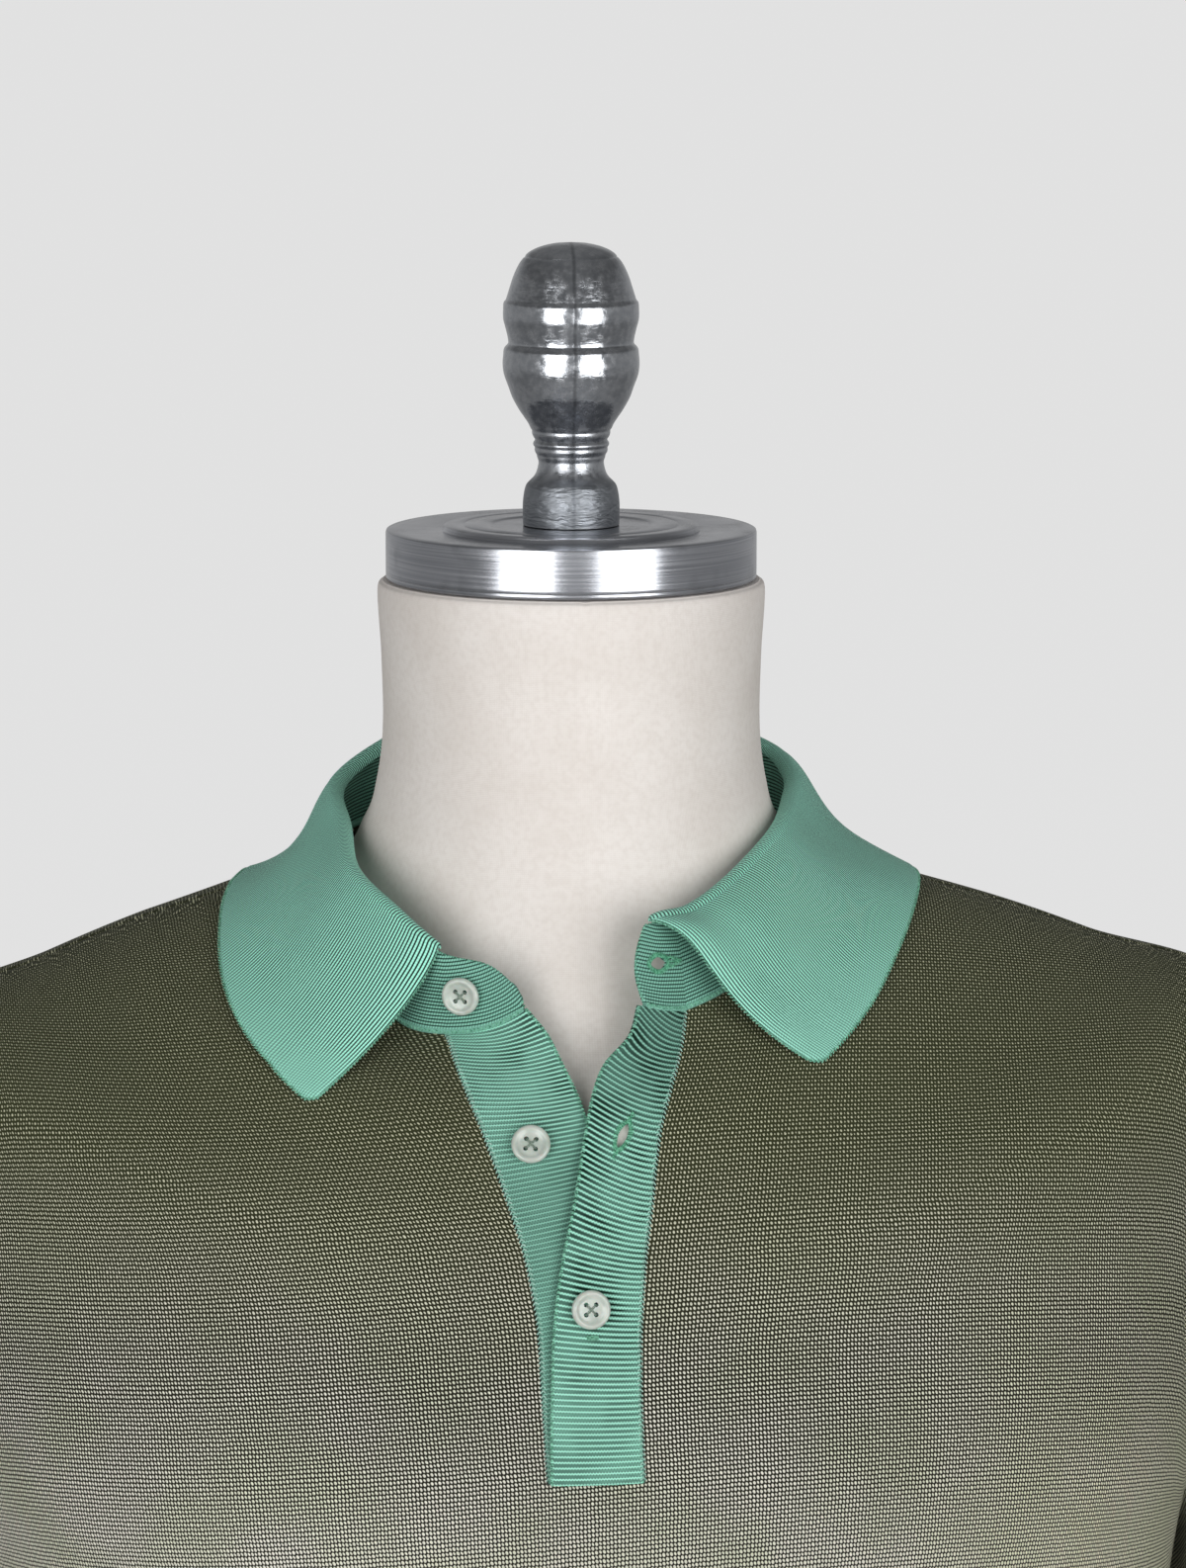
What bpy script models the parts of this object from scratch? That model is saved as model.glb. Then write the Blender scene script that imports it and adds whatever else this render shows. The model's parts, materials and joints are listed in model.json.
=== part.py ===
"""A short-sleeved knitted polo shirt on a limbless tailor's dress form.

Metres, +Z up. The form stands on the ground plane at the origin, its front faces -Y and
the wearer's left is +X. Every surface of the body is read from rings: a ring lies round
the body, and angle 0 is its centre front, a quarter turn the wearer's left side.
"""
import bpy
import bmesh
from math import asin, ceil, copysign, cos, pi, radians, sin
from mathutils import Matrix, Vector

# ---- Driving sizes -------------------------------------------------------------------
NAME = "polo_shirt_on_dress_form"

CLOTH = 0.0012              # wall of the body and sleeves
COLLAR_CLOTH = 0.0013       # wall of the collar stand and leaf
BAND_CLOTH = 0.0012         # wall of a placket band, under its ribs
SEAM_GAP = 0.0004           # room between two pieces sewn edge to edge
BAND_GAP = 0.0009           # the same beside a ribbed band
ARMHOLE_GAP = 0.0006
STAND_GAP = 0.0008          # room under the collar stand
NECK_SAG = 0.0004           # how far the panels' straight neck edges rise over the stand's
SEAT_GAP = 0.0003           # room between pieces that rest on each other

NECK_TOP_Z = 0.8650         # top of the form's neck
CAP_RADIUS = 0.0590
CAP_HEIGHT = 0.0157
CAP_RAISED = (0.69, 0.0015)     # disc on the cap's face: share of its radius, height
CAP_RECESS = (0.43, 0.0004)     # round seat in that disc: share of the radius, depth

RIB_HEIGHT = 0.00035
RIB_PITCH_OVER = 0.00185    # buttonhole band
RIB_PITCH_UNDER = 0.00172   # button band
ROWS_PER_RIB = 2
RIB_ROWS_PER_PLAIN_ROW = 8

BUTTON_RADIUS = 0.00575
BUTTON_THICKNESS = 0.0026
BUTTON_HOLE_RADIUS = 0.00085
BUTTON_HOLE_SPREAD = 0.0020
BUTTONHOLE_OPEN = (0.0018, 0.0080)      # width and length of the open slit in the band
STAND_HOLE_OPEN = (0.0052, 0.0026)      # length along the stand, and width
CUT_DEPTH = 0.008           # of a buttonhole's cutter

SHOULDER_RUN = 3            # rings at which the armhole starts, the placket ends, ...
FOOT_RUN = 5
UNDERARM_RUN = 7
HEM_RUN = 12

NECK_SKEW = 0.0055          # the wearer's left neckline sits higher than the right
NECK_SKEW_RUNS = 1.5
HEM_WAVE = 0.0045           # soft flutes of the hanging body
HEM_WAVE_COUNT = 7
HEM_WAVE_TURN = 0.5
HEM_WAVE_START_RUN = 8

COLUMNS_PER_QUARTER = 12
FORM_COLUMNS = 4 * COLUMNS_PER_QUARTER
BACK_COLUMNS = 18
SLEEVE_RINGS = 7
COLLAR_STATIONS = 35
ROLL_RADIUS = 0.0019        # under side of the collar's fold
ROLL_TURN = 0.9             # of half a turn, from the stand's top over the fold
ROLL_STEPS = 3
FALL_STEPS = 5
STAND_STEPS = 3
BAND_STEPS = 2


# ---- Tables of named columns ---------------------------------------------------------
class Table:
    """Rows of named values, read between the rows on a smooth curve."""

    def __init__(self, columns, rows):
        self.columns = columns.split()
        self.rows = rows
        self.keys = [row[0] for row in rows]

    def __call__(self, key):
        last = len(self.keys) - 2
        at = min(max(sum(1 for k in self.keys[1:] if k <= key), 0), last)
        span = self.keys[at + 1] - self.keys[at]
        share = (key - self.keys[at]) / span
        values = {}
        for column, name in enumerate(self.columns[1:], start=1):
            start, end = self.rows[at][column], self.rows[at + 1][column]
            leave, arrive = self.slope(at, column) * span, self.slope(at + 1, column) * span
            bend = (2 * share ** 3 - 3 * share ** 2 + 1) * start
            bend += (share ** 3 - 2 * share ** 2 + share) * leave
            bend += (3 * share ** 2 - 2 * share ** 3) * end + (share ** 3 - share ** 2) * arrive
            values[name] = bend
        return values

    def slope(self, at, column):
        before, after = max(at - 1, 0), min(at + 1, len(self.keys) - 1)
        rise = self.rows[after][column] - self.rows[before][column]
        return rise / (self.keys[after] - self.keys[before])


RING_COLUMNS = "run half_width front back side_z front_z back_z roundness dip"

# The inner face of the shirt. Ring 0 is the neck seam, 3 the shoulder point,
# 5 the placket's foot, 7 the underarm and 12 the hem.
SHIRT = Table(RING_COLUMNS, [
    (0, .0785, .0905, .0690, .7755, .7355, .7830, 0.90, 3.5),
    (1, .1240, .1095, .0890, .7610, .7130, .7530, 1.05, 2.4),
    (2, .1690, .1185, .1020, .7465, .6930, .7280, 1.10, 2.2),
    (3, .2135, .1255, .1100, .7310, .6710, .7030, 1.08, 2.0),
    (4, .2110, .1305, .1150, .6880, .6380, .6650, 1.00, 2.0),
    (5, .2090, .1335, .1175, .6370, .6040, .6220, 0.95, 2.0),
    (6, .2040, .1355, .1180, .5930, .5760, .5850, 0.92, 2.0),
    (7, .1950, .1360, .1180, .5500, .5480, .5500, 0.90, 2.0),
    (8, .1860, .1355, .1165, .4700, .4700, .4700, 0.90, 2.0),
    (9, .1830, .1330, .1150, .3700, .3700, .3700, 0.90, 2.0),
    (10, .1850, .1310, .1160, .2700, .2700, .2700, 0.90, 2.0),
    (11, .1880, .1300, .1180, .1700, .1700, .1700, 0.90, 2.0),
    (12, .1900, .1300, .1190, .0750, .0750, .0750, 0.90, 2.0),
])

# The form's skin. Its first rings are the round neck, and 5 to 8 follow the shirt's 0 to 3.
FORM = Table(RING_COLUMNS, [
    (0, .0600, .0600, .0600, .8650, .8650, .8650, 1.00, 2.0),
    (0.5, .0617, .0617, .0617, .8615, .8615, .8615, 1.00, 2.0),
    (1, .0606, .0606, .0606, .8420, .8420, .8420, 1.00, 2.0),
    (2, .0602, .0602, .0602, .8180, .8180, .8180, 1.00, 2.0),
    (3, .0622, .0618, .0618, .8010, .7960, .8060, 1.00, 2.2),
    (4, .0662, .0655, .0640, .7885, .7700, .7960, 1.00, 2.4),
    (5, .0785, .0765, .0660, .7746, .7360, .7815, 1.00, 3.5),
    (6, .1240, .1015, .0862, .7602, .7115, .7518, 1.02, 2.5),
    (7, .1690, .1125, .0990, .7456, .6925, .7267, 1.07, 2.2),
    (7.7, .1980, .1180, .1045, .7346, .6800, .7115, 1.06, 2.0),
    (8.3, .2040, .1220, .1090, .7170, .6600, .6900, 1.00, 2.0),
    (9, .2040, .1255, .1115, .6880, .6380, .6650, 0.98, 2.0),
    (10, .1990, .1285, .1135, .6370, .6040, .6220, 0.95, 2.0),
    (11, .1900, .1305, .1140, .5930, .5760, .5850, 0.92, 2.0),
    (12, .1800, .1300, .1130, .5450, .5450, .5450, 0.92, 2.0),
    (13, .1640, .1190, .1020, .4650, .4650, .4650, 0.92, 2.0),
    (14, .1560, .1100, .0960, .3800, .3800, .3800, 0.92, 2.0),
    (15, .1610, .1110, .1020, .2800, .2800, .2800, 0.92, 2.0),
    (16, .1680, .1130, .1080, .1700, .1700, .1700, 0.92, 2.0),
    (17, .1690, .1120, .1090, .0600, .0600, .0600, 0.92, 2.0),
    (18, .1660, .1100, .1070, .0120, .0120, .0120, 0.92, 2.0),
    (19, .1580, .1020, .0990, .0000, .0000, .0000, 0.92, 2.0),
])
FORM_RUNS = (0, .25, .5, 1, 1.5, 2, 2.5, 3, 3.5, 4, 4.5, 5, 5.35, 5.7, 6.1, 6.5, 7, 7.35, 7.7, 8, 8.3,
             9, 10, 11, 12, 13, 14, 15, 16, 17, 17.6, 18, 18.6, 19)

FINIAL = Table("height radius", [
    (.0, .0153), (.0063, .0153), (.0105, .0151), (.0127, .0143), (.0144, .0127), (.0158, .0116),
    (.0190, .0109), (.0221, .0108), (.0255, .0111), (.0284, .0117), (.0315, .0134), (.0347, .0153),
    (.0410, .0185), (.0473, .0207), (.0520, .0213), (.0560, .0208), (.0598, .0201), (.0630, .0208),
    (.0661, .0213), (.0695, .0209), (.0723, .0202), (.0755, .0196), (.0786, .0186), (.0818, .0169),
    (.0848, .0146), (.0872, .0116), (.0888, .0074), (.0895, .0),
])

# Half angle of each panel at its side edge: the armhole is cut out between rings 3 and 7.
ARMHOLE = Table("run front back", [
    (3.0, 90, 90), (3.25, 77, 79), (3.5, 71, 74), (4.0, 66.5, 70.5), (4.5, 65, 69.5), (5.0, 65.5, 70.5),
    (5.5, 67.5, 72.5), (6.0, 71, 76), (6.5, 77.5, 81), (6.8, 84, 86), (7.0, 90, 90),
])
SHIRT_RUNS = (0, .35, .7, 1.1, 1.5, 2, 2.5, 3, 3.25, 3.5, 4, 4.5, 5, 5.5, 6, 6.5, 6.8, 7,
              7.5, 8.25, 9, 10, 11, 12)

# Edges of the slit in the front, and the two bands sewn into it, from neck to foot.
# lift is how far a band's free edge stands off the chest, rise how far it is drawn up.
BUTTON_BAND = Table("run seam_x free_x lift rise", [
    (0.0, -.0432, -.0200, .0010, .0092), (0.2, -.0429, -.0142, .0008, .0060),
    (0.4, -.0424, -.0108, .0006, .0035), (0.8, -.0396, -.0054, .0002, .0006),
    (1.25, -.0358, -.0024, -.0006, .0), (2.25, -.0284, -.0004, -.0016, .0),
    (3.5, -.0203, .0065, -.0019, .0), (4.2, -.0188, .0080, -.0019, .0),
    (5.0, -.0172, .0090, -.0019, .0),
])
BUTTONHOLE_BAND = Table("run seam_x free_x lift rise", [
    (0.0, .0286, .0125, .0085, .0060), (0.25, .0272, .0098, .0069, .0032),
    (0.5, .0251, .0022, .0053, .0015), (0.8, .0222, -.0018, .0038, .0005),
    (1.25, .0186, -.0046, .0026, .0), (2.25, .0154, -.0086, .0023, .0), (3.5, .0116, -.0150, .0023, .0),
    (4.2, .0112, -.0162, .0023, .0), (5.0, .0121, -.0166, .0023, .0),
])

# Top of the stand, from the wearer's right end round the back to the left end, with the
# angle round the neck of the seam point under it. swell bows the stand's end at half height.
STAND = Table("station seam_angle top_x top_y top_z swell", [
    (0.00, -15.6, -.0236, -.0874, .7462, .0010), (0.40, -17.5, -.0256, -.0870, .7512, .0004),
    (1.00, -22.5, -.0322, -.0845, .7562, .0), (2.00, -34.0, -.0466, -.0790, .7595, .0),
    (3.00, -46.0, -.0597, -.0660, .7690, .0), (4.00, -64.0, -.0706, -.0440, .7778, .0),
    (5.00, -88.0, -.0735, -.0100, .7865, .0), (6.00, -112.0, -.0695, .0230, .7945, .0),
    (7.00, -137.0, -.0580, .0500, .8045, .0), (8.00, -158.0, -.0330, .0665, .8110, .0),
    (9.00, -180.0, .0, .0720, .8130, .0), (10.00, -202.0, .0340, .0665, .8105, .0),
    (11.00, -223.0, .0600, .0500, .8040, .0), (12.00, -248.0, .0675, .0230, .7960, .0),
    (13.00, -270.0, .0680, -.0040, .7915, .0), (14.00, -295.0, .0600, -.0350, .7860, .0),
    (15.00, -316.0, .0425, -.0640, .7755, .0), (16.00, -335.0, .0290, -.0775, .7692, .0),
    (16.60, -344.0, .0198, -.0840, .7686, -.0012), (17.00, -349.5, .0158, -.0862, .7680, -.0030),
])
STAND_END = 17.0

# Edge of the collar leaf on the body, and how the leaf falls from the fold towards it: out and
# down at first, then held back by a share of the way across and up.
LEAF = Table("station edge_run edge_angle fall_out fall_down hold_across hold_up", [
    (2.00, 1.66, -34.3, .0040, .0085, .67, .42), (3.00, 1.50, -42.0, .0060, .0080, .60, .34),
    (4.00, 1.20, -56.0, .0070, .0075, .50, .24), (5.00, .80, -77.0, .0060, .0085, .45, .15),
    (6.00, .66, -100.0, .0050, .0110, .45, .12), (7.00, .84, -128.0, .0045, .0140, .35, .22),
    (8.00, 1.00, -154.0, .0045, .0170, .25, .34), (9.00, 1.05, -180.0, .0045, .0180, .20, .40),
    (10.00, 1.00, -206.0, .0045, .0170, .25, .34), (11.00, .84, -232.0, .0045, .0140, .35, .22),
    (12.00, .68, -258.0, .0050, .0110, .45, .12), (13.00, .70, -281.0, .0070, .0080, .45, .15),
    (14.00, .78, -300.0, .0100, .0060, .50, .22), (15.00, .94, -315.0, .0150, .0040, .62, .30),
    (16.80, 1.10, -327.8, .0220, .0010, .74, .42),
])
LEAF_START, LEAF_END = 2.0, 16.8
STAND_BULGE = 0.0012        # how far the stand is rounded outward at half height
LEAF_HOVER = 0.0009         # clear room between the leaf's edge and the body
LEAF_BULGE = 0.0040         # how far the leaf's lower half is rounded off the body

# Cuff of a sleeve, as seen from the front, and how the sleeve leaves the armhole.
CUFF_TOP = (.2740, .5180)   # outer point: across, up
CUFF_FOOT = (.2090, .4560)
CUFF_HALF_DEPTH = .0660
CUFF_CENTRE_Y = -.0040
SLEEVE_LEAVE = .055         # length over which the sleeve keeps the armhole's direction
SLEEVE_ARRIVE = .060
SLEEVE_TURN_OUT = (.35, .65)    # how soon it turns outward, at the shoulder and added below
SLEEVE_SHORTENED = (.75, .40)   # how much of those two lengths is lost towards the underarm
SLEEVE_FALL = (.35, .50)        # fall of the outward direction, at the shoulder and added below
SLEEVE_RING_SPREAD = 1.25       # draws the sleeve's rings towards the armhole
UNDERARM_LIFT = .0018       # the sleeve starts this much above the side panels

# Buttons: where they sit, as a run down the front and a distance from the centre.
BUTTONS = {"button_2": (1.43, -.0209), "button_3": (3.43, -.0043)}
BUTTON_PROFILE = Table("share_of_thickness share_of_radius", [      # dish, rim, edge and foot
    (.72, .0), (.72, .62), (.97, .72), (1.0, .86), (.62, 1.0), (.30, .96), (.0, .70), (.0, .0),
])
BUTTON_STAND_STATION = 1.55
BUTTON_STAND_HEIGHT = 0.50
BUTTONHOLE_RUN = 1.29
BAND_FOOT_ROOM = 0.012      # part of a run left open between the bands' feet and the slit's
STAND_HOLE_STATION = 16.72
STAND_HOLE_HEIGHT = 0.52


# ---- Materials -----------------------------------------------------------------------
def make_material(name, colour, roughness, metallic=0.0):
    material = bpy.data.materials.new(name)
    material.use_nodes = True
    shader = material.node_tree.nodes["Principled BSDF"]
    shader.inputs["Base Color"].default_value = (*colour, 1.0)
    shader.inputs["Roughness"].default_value = roughness
    shader.inputs["Metallic"].default_value = metallic
    return material


OLIVE = (0.125, 0.122, 0.062)
GREEN = (0.13, 0.42, 0.27)
CANVAS = (0.76, 0.71, 0.65)
STEEL = (0.55, 0.57, 0.59)
SHELL = (0.78, 0.80, 0.74)


# ---- Reading the body ----------------------------------------------------------------
def ring_point(ring, angle):
    """The point of a ring at an angle in radians."""
    across, forward = sin(angle), cos(angle)
    depth, end_z = (ring["front"], ring["front_z"]) if forward > 0 else (ring["back"], ring["back_z"])
    y = -depth * copysign(abs(forward) ** ring["roundness"], forward)
    z = ring["side_z"] + (end_z - ring["side_z"]) * (1 - abs(across) ** ring["dip"])
    return Vector((ring["half_width"] * across, y, z))


def shirt_point(run, angle):
    """A point of the shirt's inner face."""
    point = ring_point(SHIRT(run), angle)
    if cos(angle) > 0 and run < NECK_SKEW_RUNS:
        point.z += NECK_SKEW * sin(2 * angle) * (1 - run / NECK_SKEW_RUNS)
    if run > HEM_WAVE_START_RUN:
        grown = (run - HEM_WAVE_START_RUN) / (HEM_RUN - HEM_WAVE_START_RUN)
        wave = HEM_WAVE * grown * cos(HEM_WAVE_COUNT * angle + HEM_WAVE_TURN)
        point += Vector((sin(angle), -cos(angle), 0)) * wave
    return point


def shirt_normal(run, angle):
    """The direction out of the cloth."""
    step = 0.01
    down = shirt_point(run + step, angle) - shirt_point(run - step, angle)
    around = shirt_point(run, angle + step) - shirt_point(run, angle - step)
    return down.cross(around).normalized()


def angle_at(run, x):
    """The angle at which the front of ring run lies at x."""
    return asin(max(-1.0, min(1.0, x / SHIRT(run)["half_width"])))


# ---- Mesh helpers --------------------------------------------------------------------
def add_object(name, mesh, material):
    item = bpy.data.objects.new(name, mesh)
    mesh.materials.append(material)
    parts.objects.link(item)
    return item


def smooth(mesh, sharp_over=50):
    mesh.shade_smooth()
    mesh.set_sharp_from_angle(angle=radians(sharp_over))


def mesh_from(name, bm):
    mesh = bpy.data.meshes.new(name)
    bm.to_mesh(mesh)
    bm.free()
    return mesh


def sheet_mesh(name, grid, closed=False):
    """An open sheet through rows of points; None leaves a hole, closed joins each row's ends."""
    bm = bmesh.new()
    rows = [[point if point is None else bm.verts.new(point) for point in row] for row in grid]
    if closed:
        rows = [row + row[:1] for row in rows]
    for upper, lower in zip(rows, rows[1:]):
        for corners in zip(upper, lower, lower[1:], upper[1:]):
            if None not in corners:
                bm.faces.new(corners)
    return mesh_from(name, bm)


def add_wall(item, thickness, offset=1.0):
    wall = item.modifiers.new("wall", "SOLIDIFY")
    wall.thickness = thickness
    wall.offset = offset
    wall.use_even_offset = True
    wall.thickness_clamp = 1.0


def cloth(name, grid, thickness, material, closed=False):
    mesh = sheet_mesh(name, grid, closed)
    item = add_object(name, mesh, material)
    add_wall(item, thickness)
    smooth(mesh)
    return item


def turned(name, profile, steps, material):
    """A Screw-turned solid from (radius, height) points that run down its outer side."""
    bm = bmesh.new()
    points = [bm.verts.new((radius, 0, height)) for radius, height in profile]
    for upper, lower in zip(points, points[1:]):
        bm.edges.new((upper, lower))
    item = add_object(name, mesh_from(name, bm), material)
    screw = item.modifiers.new("turn", "SCREW")
    screw.steps = screw.render_steps = steps
    screw.use_merge_vertices = True
    screw.merge_threshold = 0.00005
    screw.use_smooth_shade = True
    return item


def cut(item, cutter):
    tool = item.modifiers.new("cut " + cutter.name, "BOOLEAN")
    tool.operation = "DIFFERENCE"
    tool.object = cutter


def add_cutter(name, bm, place):
    item = bpy.data.objects.new(name, mesh_from(name, bm))
    item.matrix_world = place
    item.hide_render = True
    item.display_type = "WIRE"
    cutters.objects.link(item)
    return item


def slot_cutter(name, length, width, place):
    """A slit with round ends, along the local X axis, for cutting through a wall."""
    bm = bmesh.new()
    bmesh.ops.create_cone(bm, cap_ends=True, segments=12, radius1=width / 2, radius2=width / 2,
                          depth=CUT_DEPTH)
    for vert in bm.verts:
        if abs(vert.co.x) > width / 100:
            vert.co.x += copysign((length - width) / 2, vert.co.x)
    return add_cutter(name, bm, place)


def frame_at(origin, out, along):
    """A placing matrix with Z out of the cloth and X as near along as it can be."""
    side = out.cross(along).normalized()
    axes = Matrix((side.cross(out), side, out)).transposed()
    return Matrix.Translation(origin) @ axes.to_4x4()


# ---- The dress form ------------------------------------------------------------------
def build_torso():
    rings = []
    for run in FORM_RUNS:
        ring = FORM(run)
        rings.append([ring_point(ring, 2 * pi * turn / FORM_COLUMNS) for turn in range(FORM_COLUMNS)])
    mesh = sheet_mesh("form_torso", rings, closed=True)
    bm = bmesh.new()
    bm.from_mesh(mesh)
    bmesh.ops.holes_fill(bm, edges=[edge for edge in bm.edges if edge.is_boundary])
    bmesh.ops.recalc_face_normals(bm, faces=bm.faces)
    bm.to_mesh(mesh)
    bm.free()
    smooth(mesh)
    add_object("form_torso", mesh, make_material("canvas", CANVAS, 0.85))


def build_cap():
    """The turned metal disc that closes the neck, with a raised disc and a seat on its face."""
    base = NECK_TOP_Z + SEAT_GAP
    top, edge = base + CAP_HEIGHT, 0.0008
    (raised_share, rise), (recess_share, depth) = CAP_RAISED, CAP_RECESS
    raised, recess = raised_share * CAP_RADIUS, recess_share * CAP_RADIUS
    seat = top + rise - depth
    profile = [
        (0, seat), (recess - depth, seat), (recess, top + rise), (raised - rise, top + rise),
        (raised, top), (CAP_RADIUS - edge, top), (CAP_RADIUS, top - edge),
        (CAP_RADIUS, base + edge), (CAP_RADIUS - edge, base), (0, base),
    ]
    turned("form_cap", profile, 48, make_material("brushed metal", STEEL, 0.3, 1.0))
    return seat


def build_finial(seat):
    """The cast metal handle: two rounded swellings over a waisted stem and a round foot."""
    lift = seat + SEAT_GAP
    profile = [(radius, lift + height) for height, radius in reversed(FINIAL.rows)]
    profile.append((0, lift))
    turned("form_finial", profile, 28, make_material("cast metal", STEEL, 0.22, 1.0))


# ---- The body of the shirt -----------------------------------------------------------
def side_half_angle(run, face):
    if SHOULDER_RUN < run < UNDERARM_RUN:
        return radians(ARMHOLE(run)[face])
    return pi / 2


def side_point(run, side, face):
    """A panel's side edge: shoulder seam, armhole, then side seam. side is -1 or 1."""
    half = side_half_angle(run, face)
    angle = side * (half if face == "front" else pi - half)
    point = shirt_point(run, angle)
    if half == pi / 2:
        point.y += SEAM_GAP / 2 * (-1 if face == "front" else 1)
    return point


def panel_angles(face, run):
    """Angles of a panel's columns in one row; the front has a list for each side of its slit."""
    half = side_half_angle(run, face)
    if face == "back":
        return [pi - half + 2 * half * step / BACK_COLUMNS for step in range(BACK_COLUMNS + 1)]
    slit_run = min(run, FOOT_RUN)
    right_x = BUTTON_BAND(slit_run)["seam_x"] - BAND_GAP / 2
    left_x = BUTTONHOLE_BAND(slit_run)["seam_x"] + BAND_GAP / 2
    right_end, left_end = angle_at(run, right_x), angle_at(run, left_x)
    shares = [step / (COLUMNS_PER_QUARTER - 1) for step in range(COLUMNS_PER_QUARTER)]
    return ([-half + (right_end + half) * share for share in shares],
            [left_end + (half - left_end) * share for share in shares])


def front_row(run):
    """One row of the front, from the wearer's right side to the left, open at the slit."""
    right, left = panel_angles("front", run)
    middle = shirt_point(run, (right[-1] + left[0]) / 2) if run >= FOOT_RUN else None
    row = [side_point(run, -1, "front")] + [shirt_point(run, angle) for angle in right[1:]] + [middle]
    return row + [shirt_point(run, angle) for angle in left[:-1]] + [side_point(run, 1, "front")]


def back_row(run):
    inner = [shirt_point(run, angle) for angle in panel_angles("back", run)[1:-1]]
    return [side_point(run, 1, "back")] + inner + [side_point(run, -1, "back")]


def build_body():
    front = [front_row(run) for run in SHIRT_RUNS]
    cloth("shirt_front", front, CLOTH, make_material("olive knit front", OLIVE, 0.9))
    back = [back_row(run) for run in SHIRT_RUNS]
    cloth("shirt_back", back, CLOTH, make_material("olive knit back", OLIVE, 0.9))


# ---- Sleeves -------------------------------------------------------------------------
def armhole_loop(side):
    """The armhole's points with the direction in which the cloth runs on there."""
    runs = [run for run in SHIRT_RUNS if SHOULDER_RUN <= run <= UNDERARM_RUN]
    step = 0.02
    loop = []
    for face, order in (("front", runs), ("back", runs[::-1][1:-1])):
        turn = side if face == "front" else -side
        for run in order:
            half = side_half_angle(run, face)
            angle = side * (half if face == "front" else pi - half)
            onward = (shirt_point(run, angle + turn * step) - shirt_point(run, angle)).normalized()
            if run == SHOULDER_RUN:
                onward = (shirt_point(run, angle) - shirt_point(run - step, angle)).normalized()
            if run == UNDERARM_RUN:
                onward = Vector((0, 0, 1))
            loop.append((run, face, shirt_point(run, angle), onward))
    return loop


def cuff_point(side, turn):
    """A point of the cuff's ring: turn 0 is its top, half a turn its foot, the front between."""
    (top_x, top_z), (foot_x, foot_z) = CUFF_TOP, CUFF_FOOT
    across = (top_x + foot_x) / 2 + (top_x - foot_x) / 2 * cos(turn)
    up = (top_z + foot_z) / 2 + (top_z - foot_z) / 2 * cos(turn)
    return Vector((side * across, CUFF_CENTRE_Y - CUFF_HALF_DEPTH * sin(turn), up))


def sleeve_grid(side):
    loop = armhole_loop(side)
    lengths = [0.0]
    for here, there in zip(loop, loop[1:] + loop[:1]):
        lengths.append(lengths[-1] + (there[2] - here[2]).length)
    top_to_foot = next(at for at, point in enumerate(loop) if point[0] == UNDERARM_RUN)
    down, total = lengths[top_to_foot], lengths[-1]
    arrive = Vector((side * (CUFF_TOP[1] - CUFF_FOOT[1]), 0, CUFF_FOOT[0] - CUFF_TOP[0])).normalized()
    columns = []
    for (run, face, point, onward), length in zip(loop, lengths):
        turn = pi * length / down if length <= down else pi + pi * (length - down) / (total - down)
        low = max(0.0, (run - FOOT_RUN) / (UNDERARM_RUN - FOOT_RUN))
        start = point + onward * ARMHOLE_GAP + Vector((0, 0, UNDERARM_LIFT * low ** 3))
        outward = Vector((side, 0, -SLEEVE_FALL[0] - SLEEVE_FALL[1] * low)).normalized()
        leave = onward.lerp(outward, SLEEVE_TURN_OUT[0] + SLEEVE_TURN_OUT[1] * low ** 3).normalized()
        end = cuff_point(side, turn)
        handle_1 = start + leave * SLEEVE_LEAVE * (1 - SLEEVE_SHORTENED[0] * low)
        handle_2 = end - arrive * SLEEVE_ARRIVE * (1 - SLEEVE_SHORTENED[1] * low)
        column = []
        for step in range(SLEEVE_RINGS + 1):
            t = (step / SLEEVE_RINGS) ** SLEEVE_RING_SPREAD
            column.append(start * (1 - t) ** 3 + handle_1 * 3 * t * (1 - t) ** 2
                          + handle_2 * 3 * t * t * (1 - t) + end * t ** 3)
        columns.append(column)
    rows = [list(row) for row in zip(*columns)]
    if side < 0:
        rows = [row[::-1] for row in rows]
    return rows


def build_sleeves():
    for name, side in (("sleeve_left", 1), ("sleeve_right", -1)):
        material = make_material("olive knit " + name, OLIVE, 0.9)
        cloth(name, sleeve_grid(side), CLOTH, material, closed=True)


# ---- Placket bands -------------------------------------------------------------------
def band_point(band, run, share):
    """A point of a band's inner face; share 0 is its seam edge and 1 its free edge."""
    size = band(run)
    x = size["seam_x"] + (size["free_x"] - size["seam_x"]) * share
    angle = angle_at(run, x)
    lift = Vector((0, 0, size["rise"] * share ** 2))
    return shirt_point(run, angle) + shirt_normal(run, angle) * size["lift"] * share + lift


def band_out(band, run, share):
    """The direction out of a band: the panel's own at the seam, turning to the band's."""
    step = 0.02
    low = max(run - step, 0)
    down = band_point(band, low + 2 * step, share) - band_point(band, low, share)
    across = band_point(band, run, 1) - band_point(band, run, 0)
    out = down.cross(across).normalized()
    if out.y > 0:
        out.negate()
    beside = shirt_normal(run, angle_at(run, band(run)["seam_x"]))
    return beside.lerp(out, min(1.0, 2 * share)).normalized()


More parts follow.
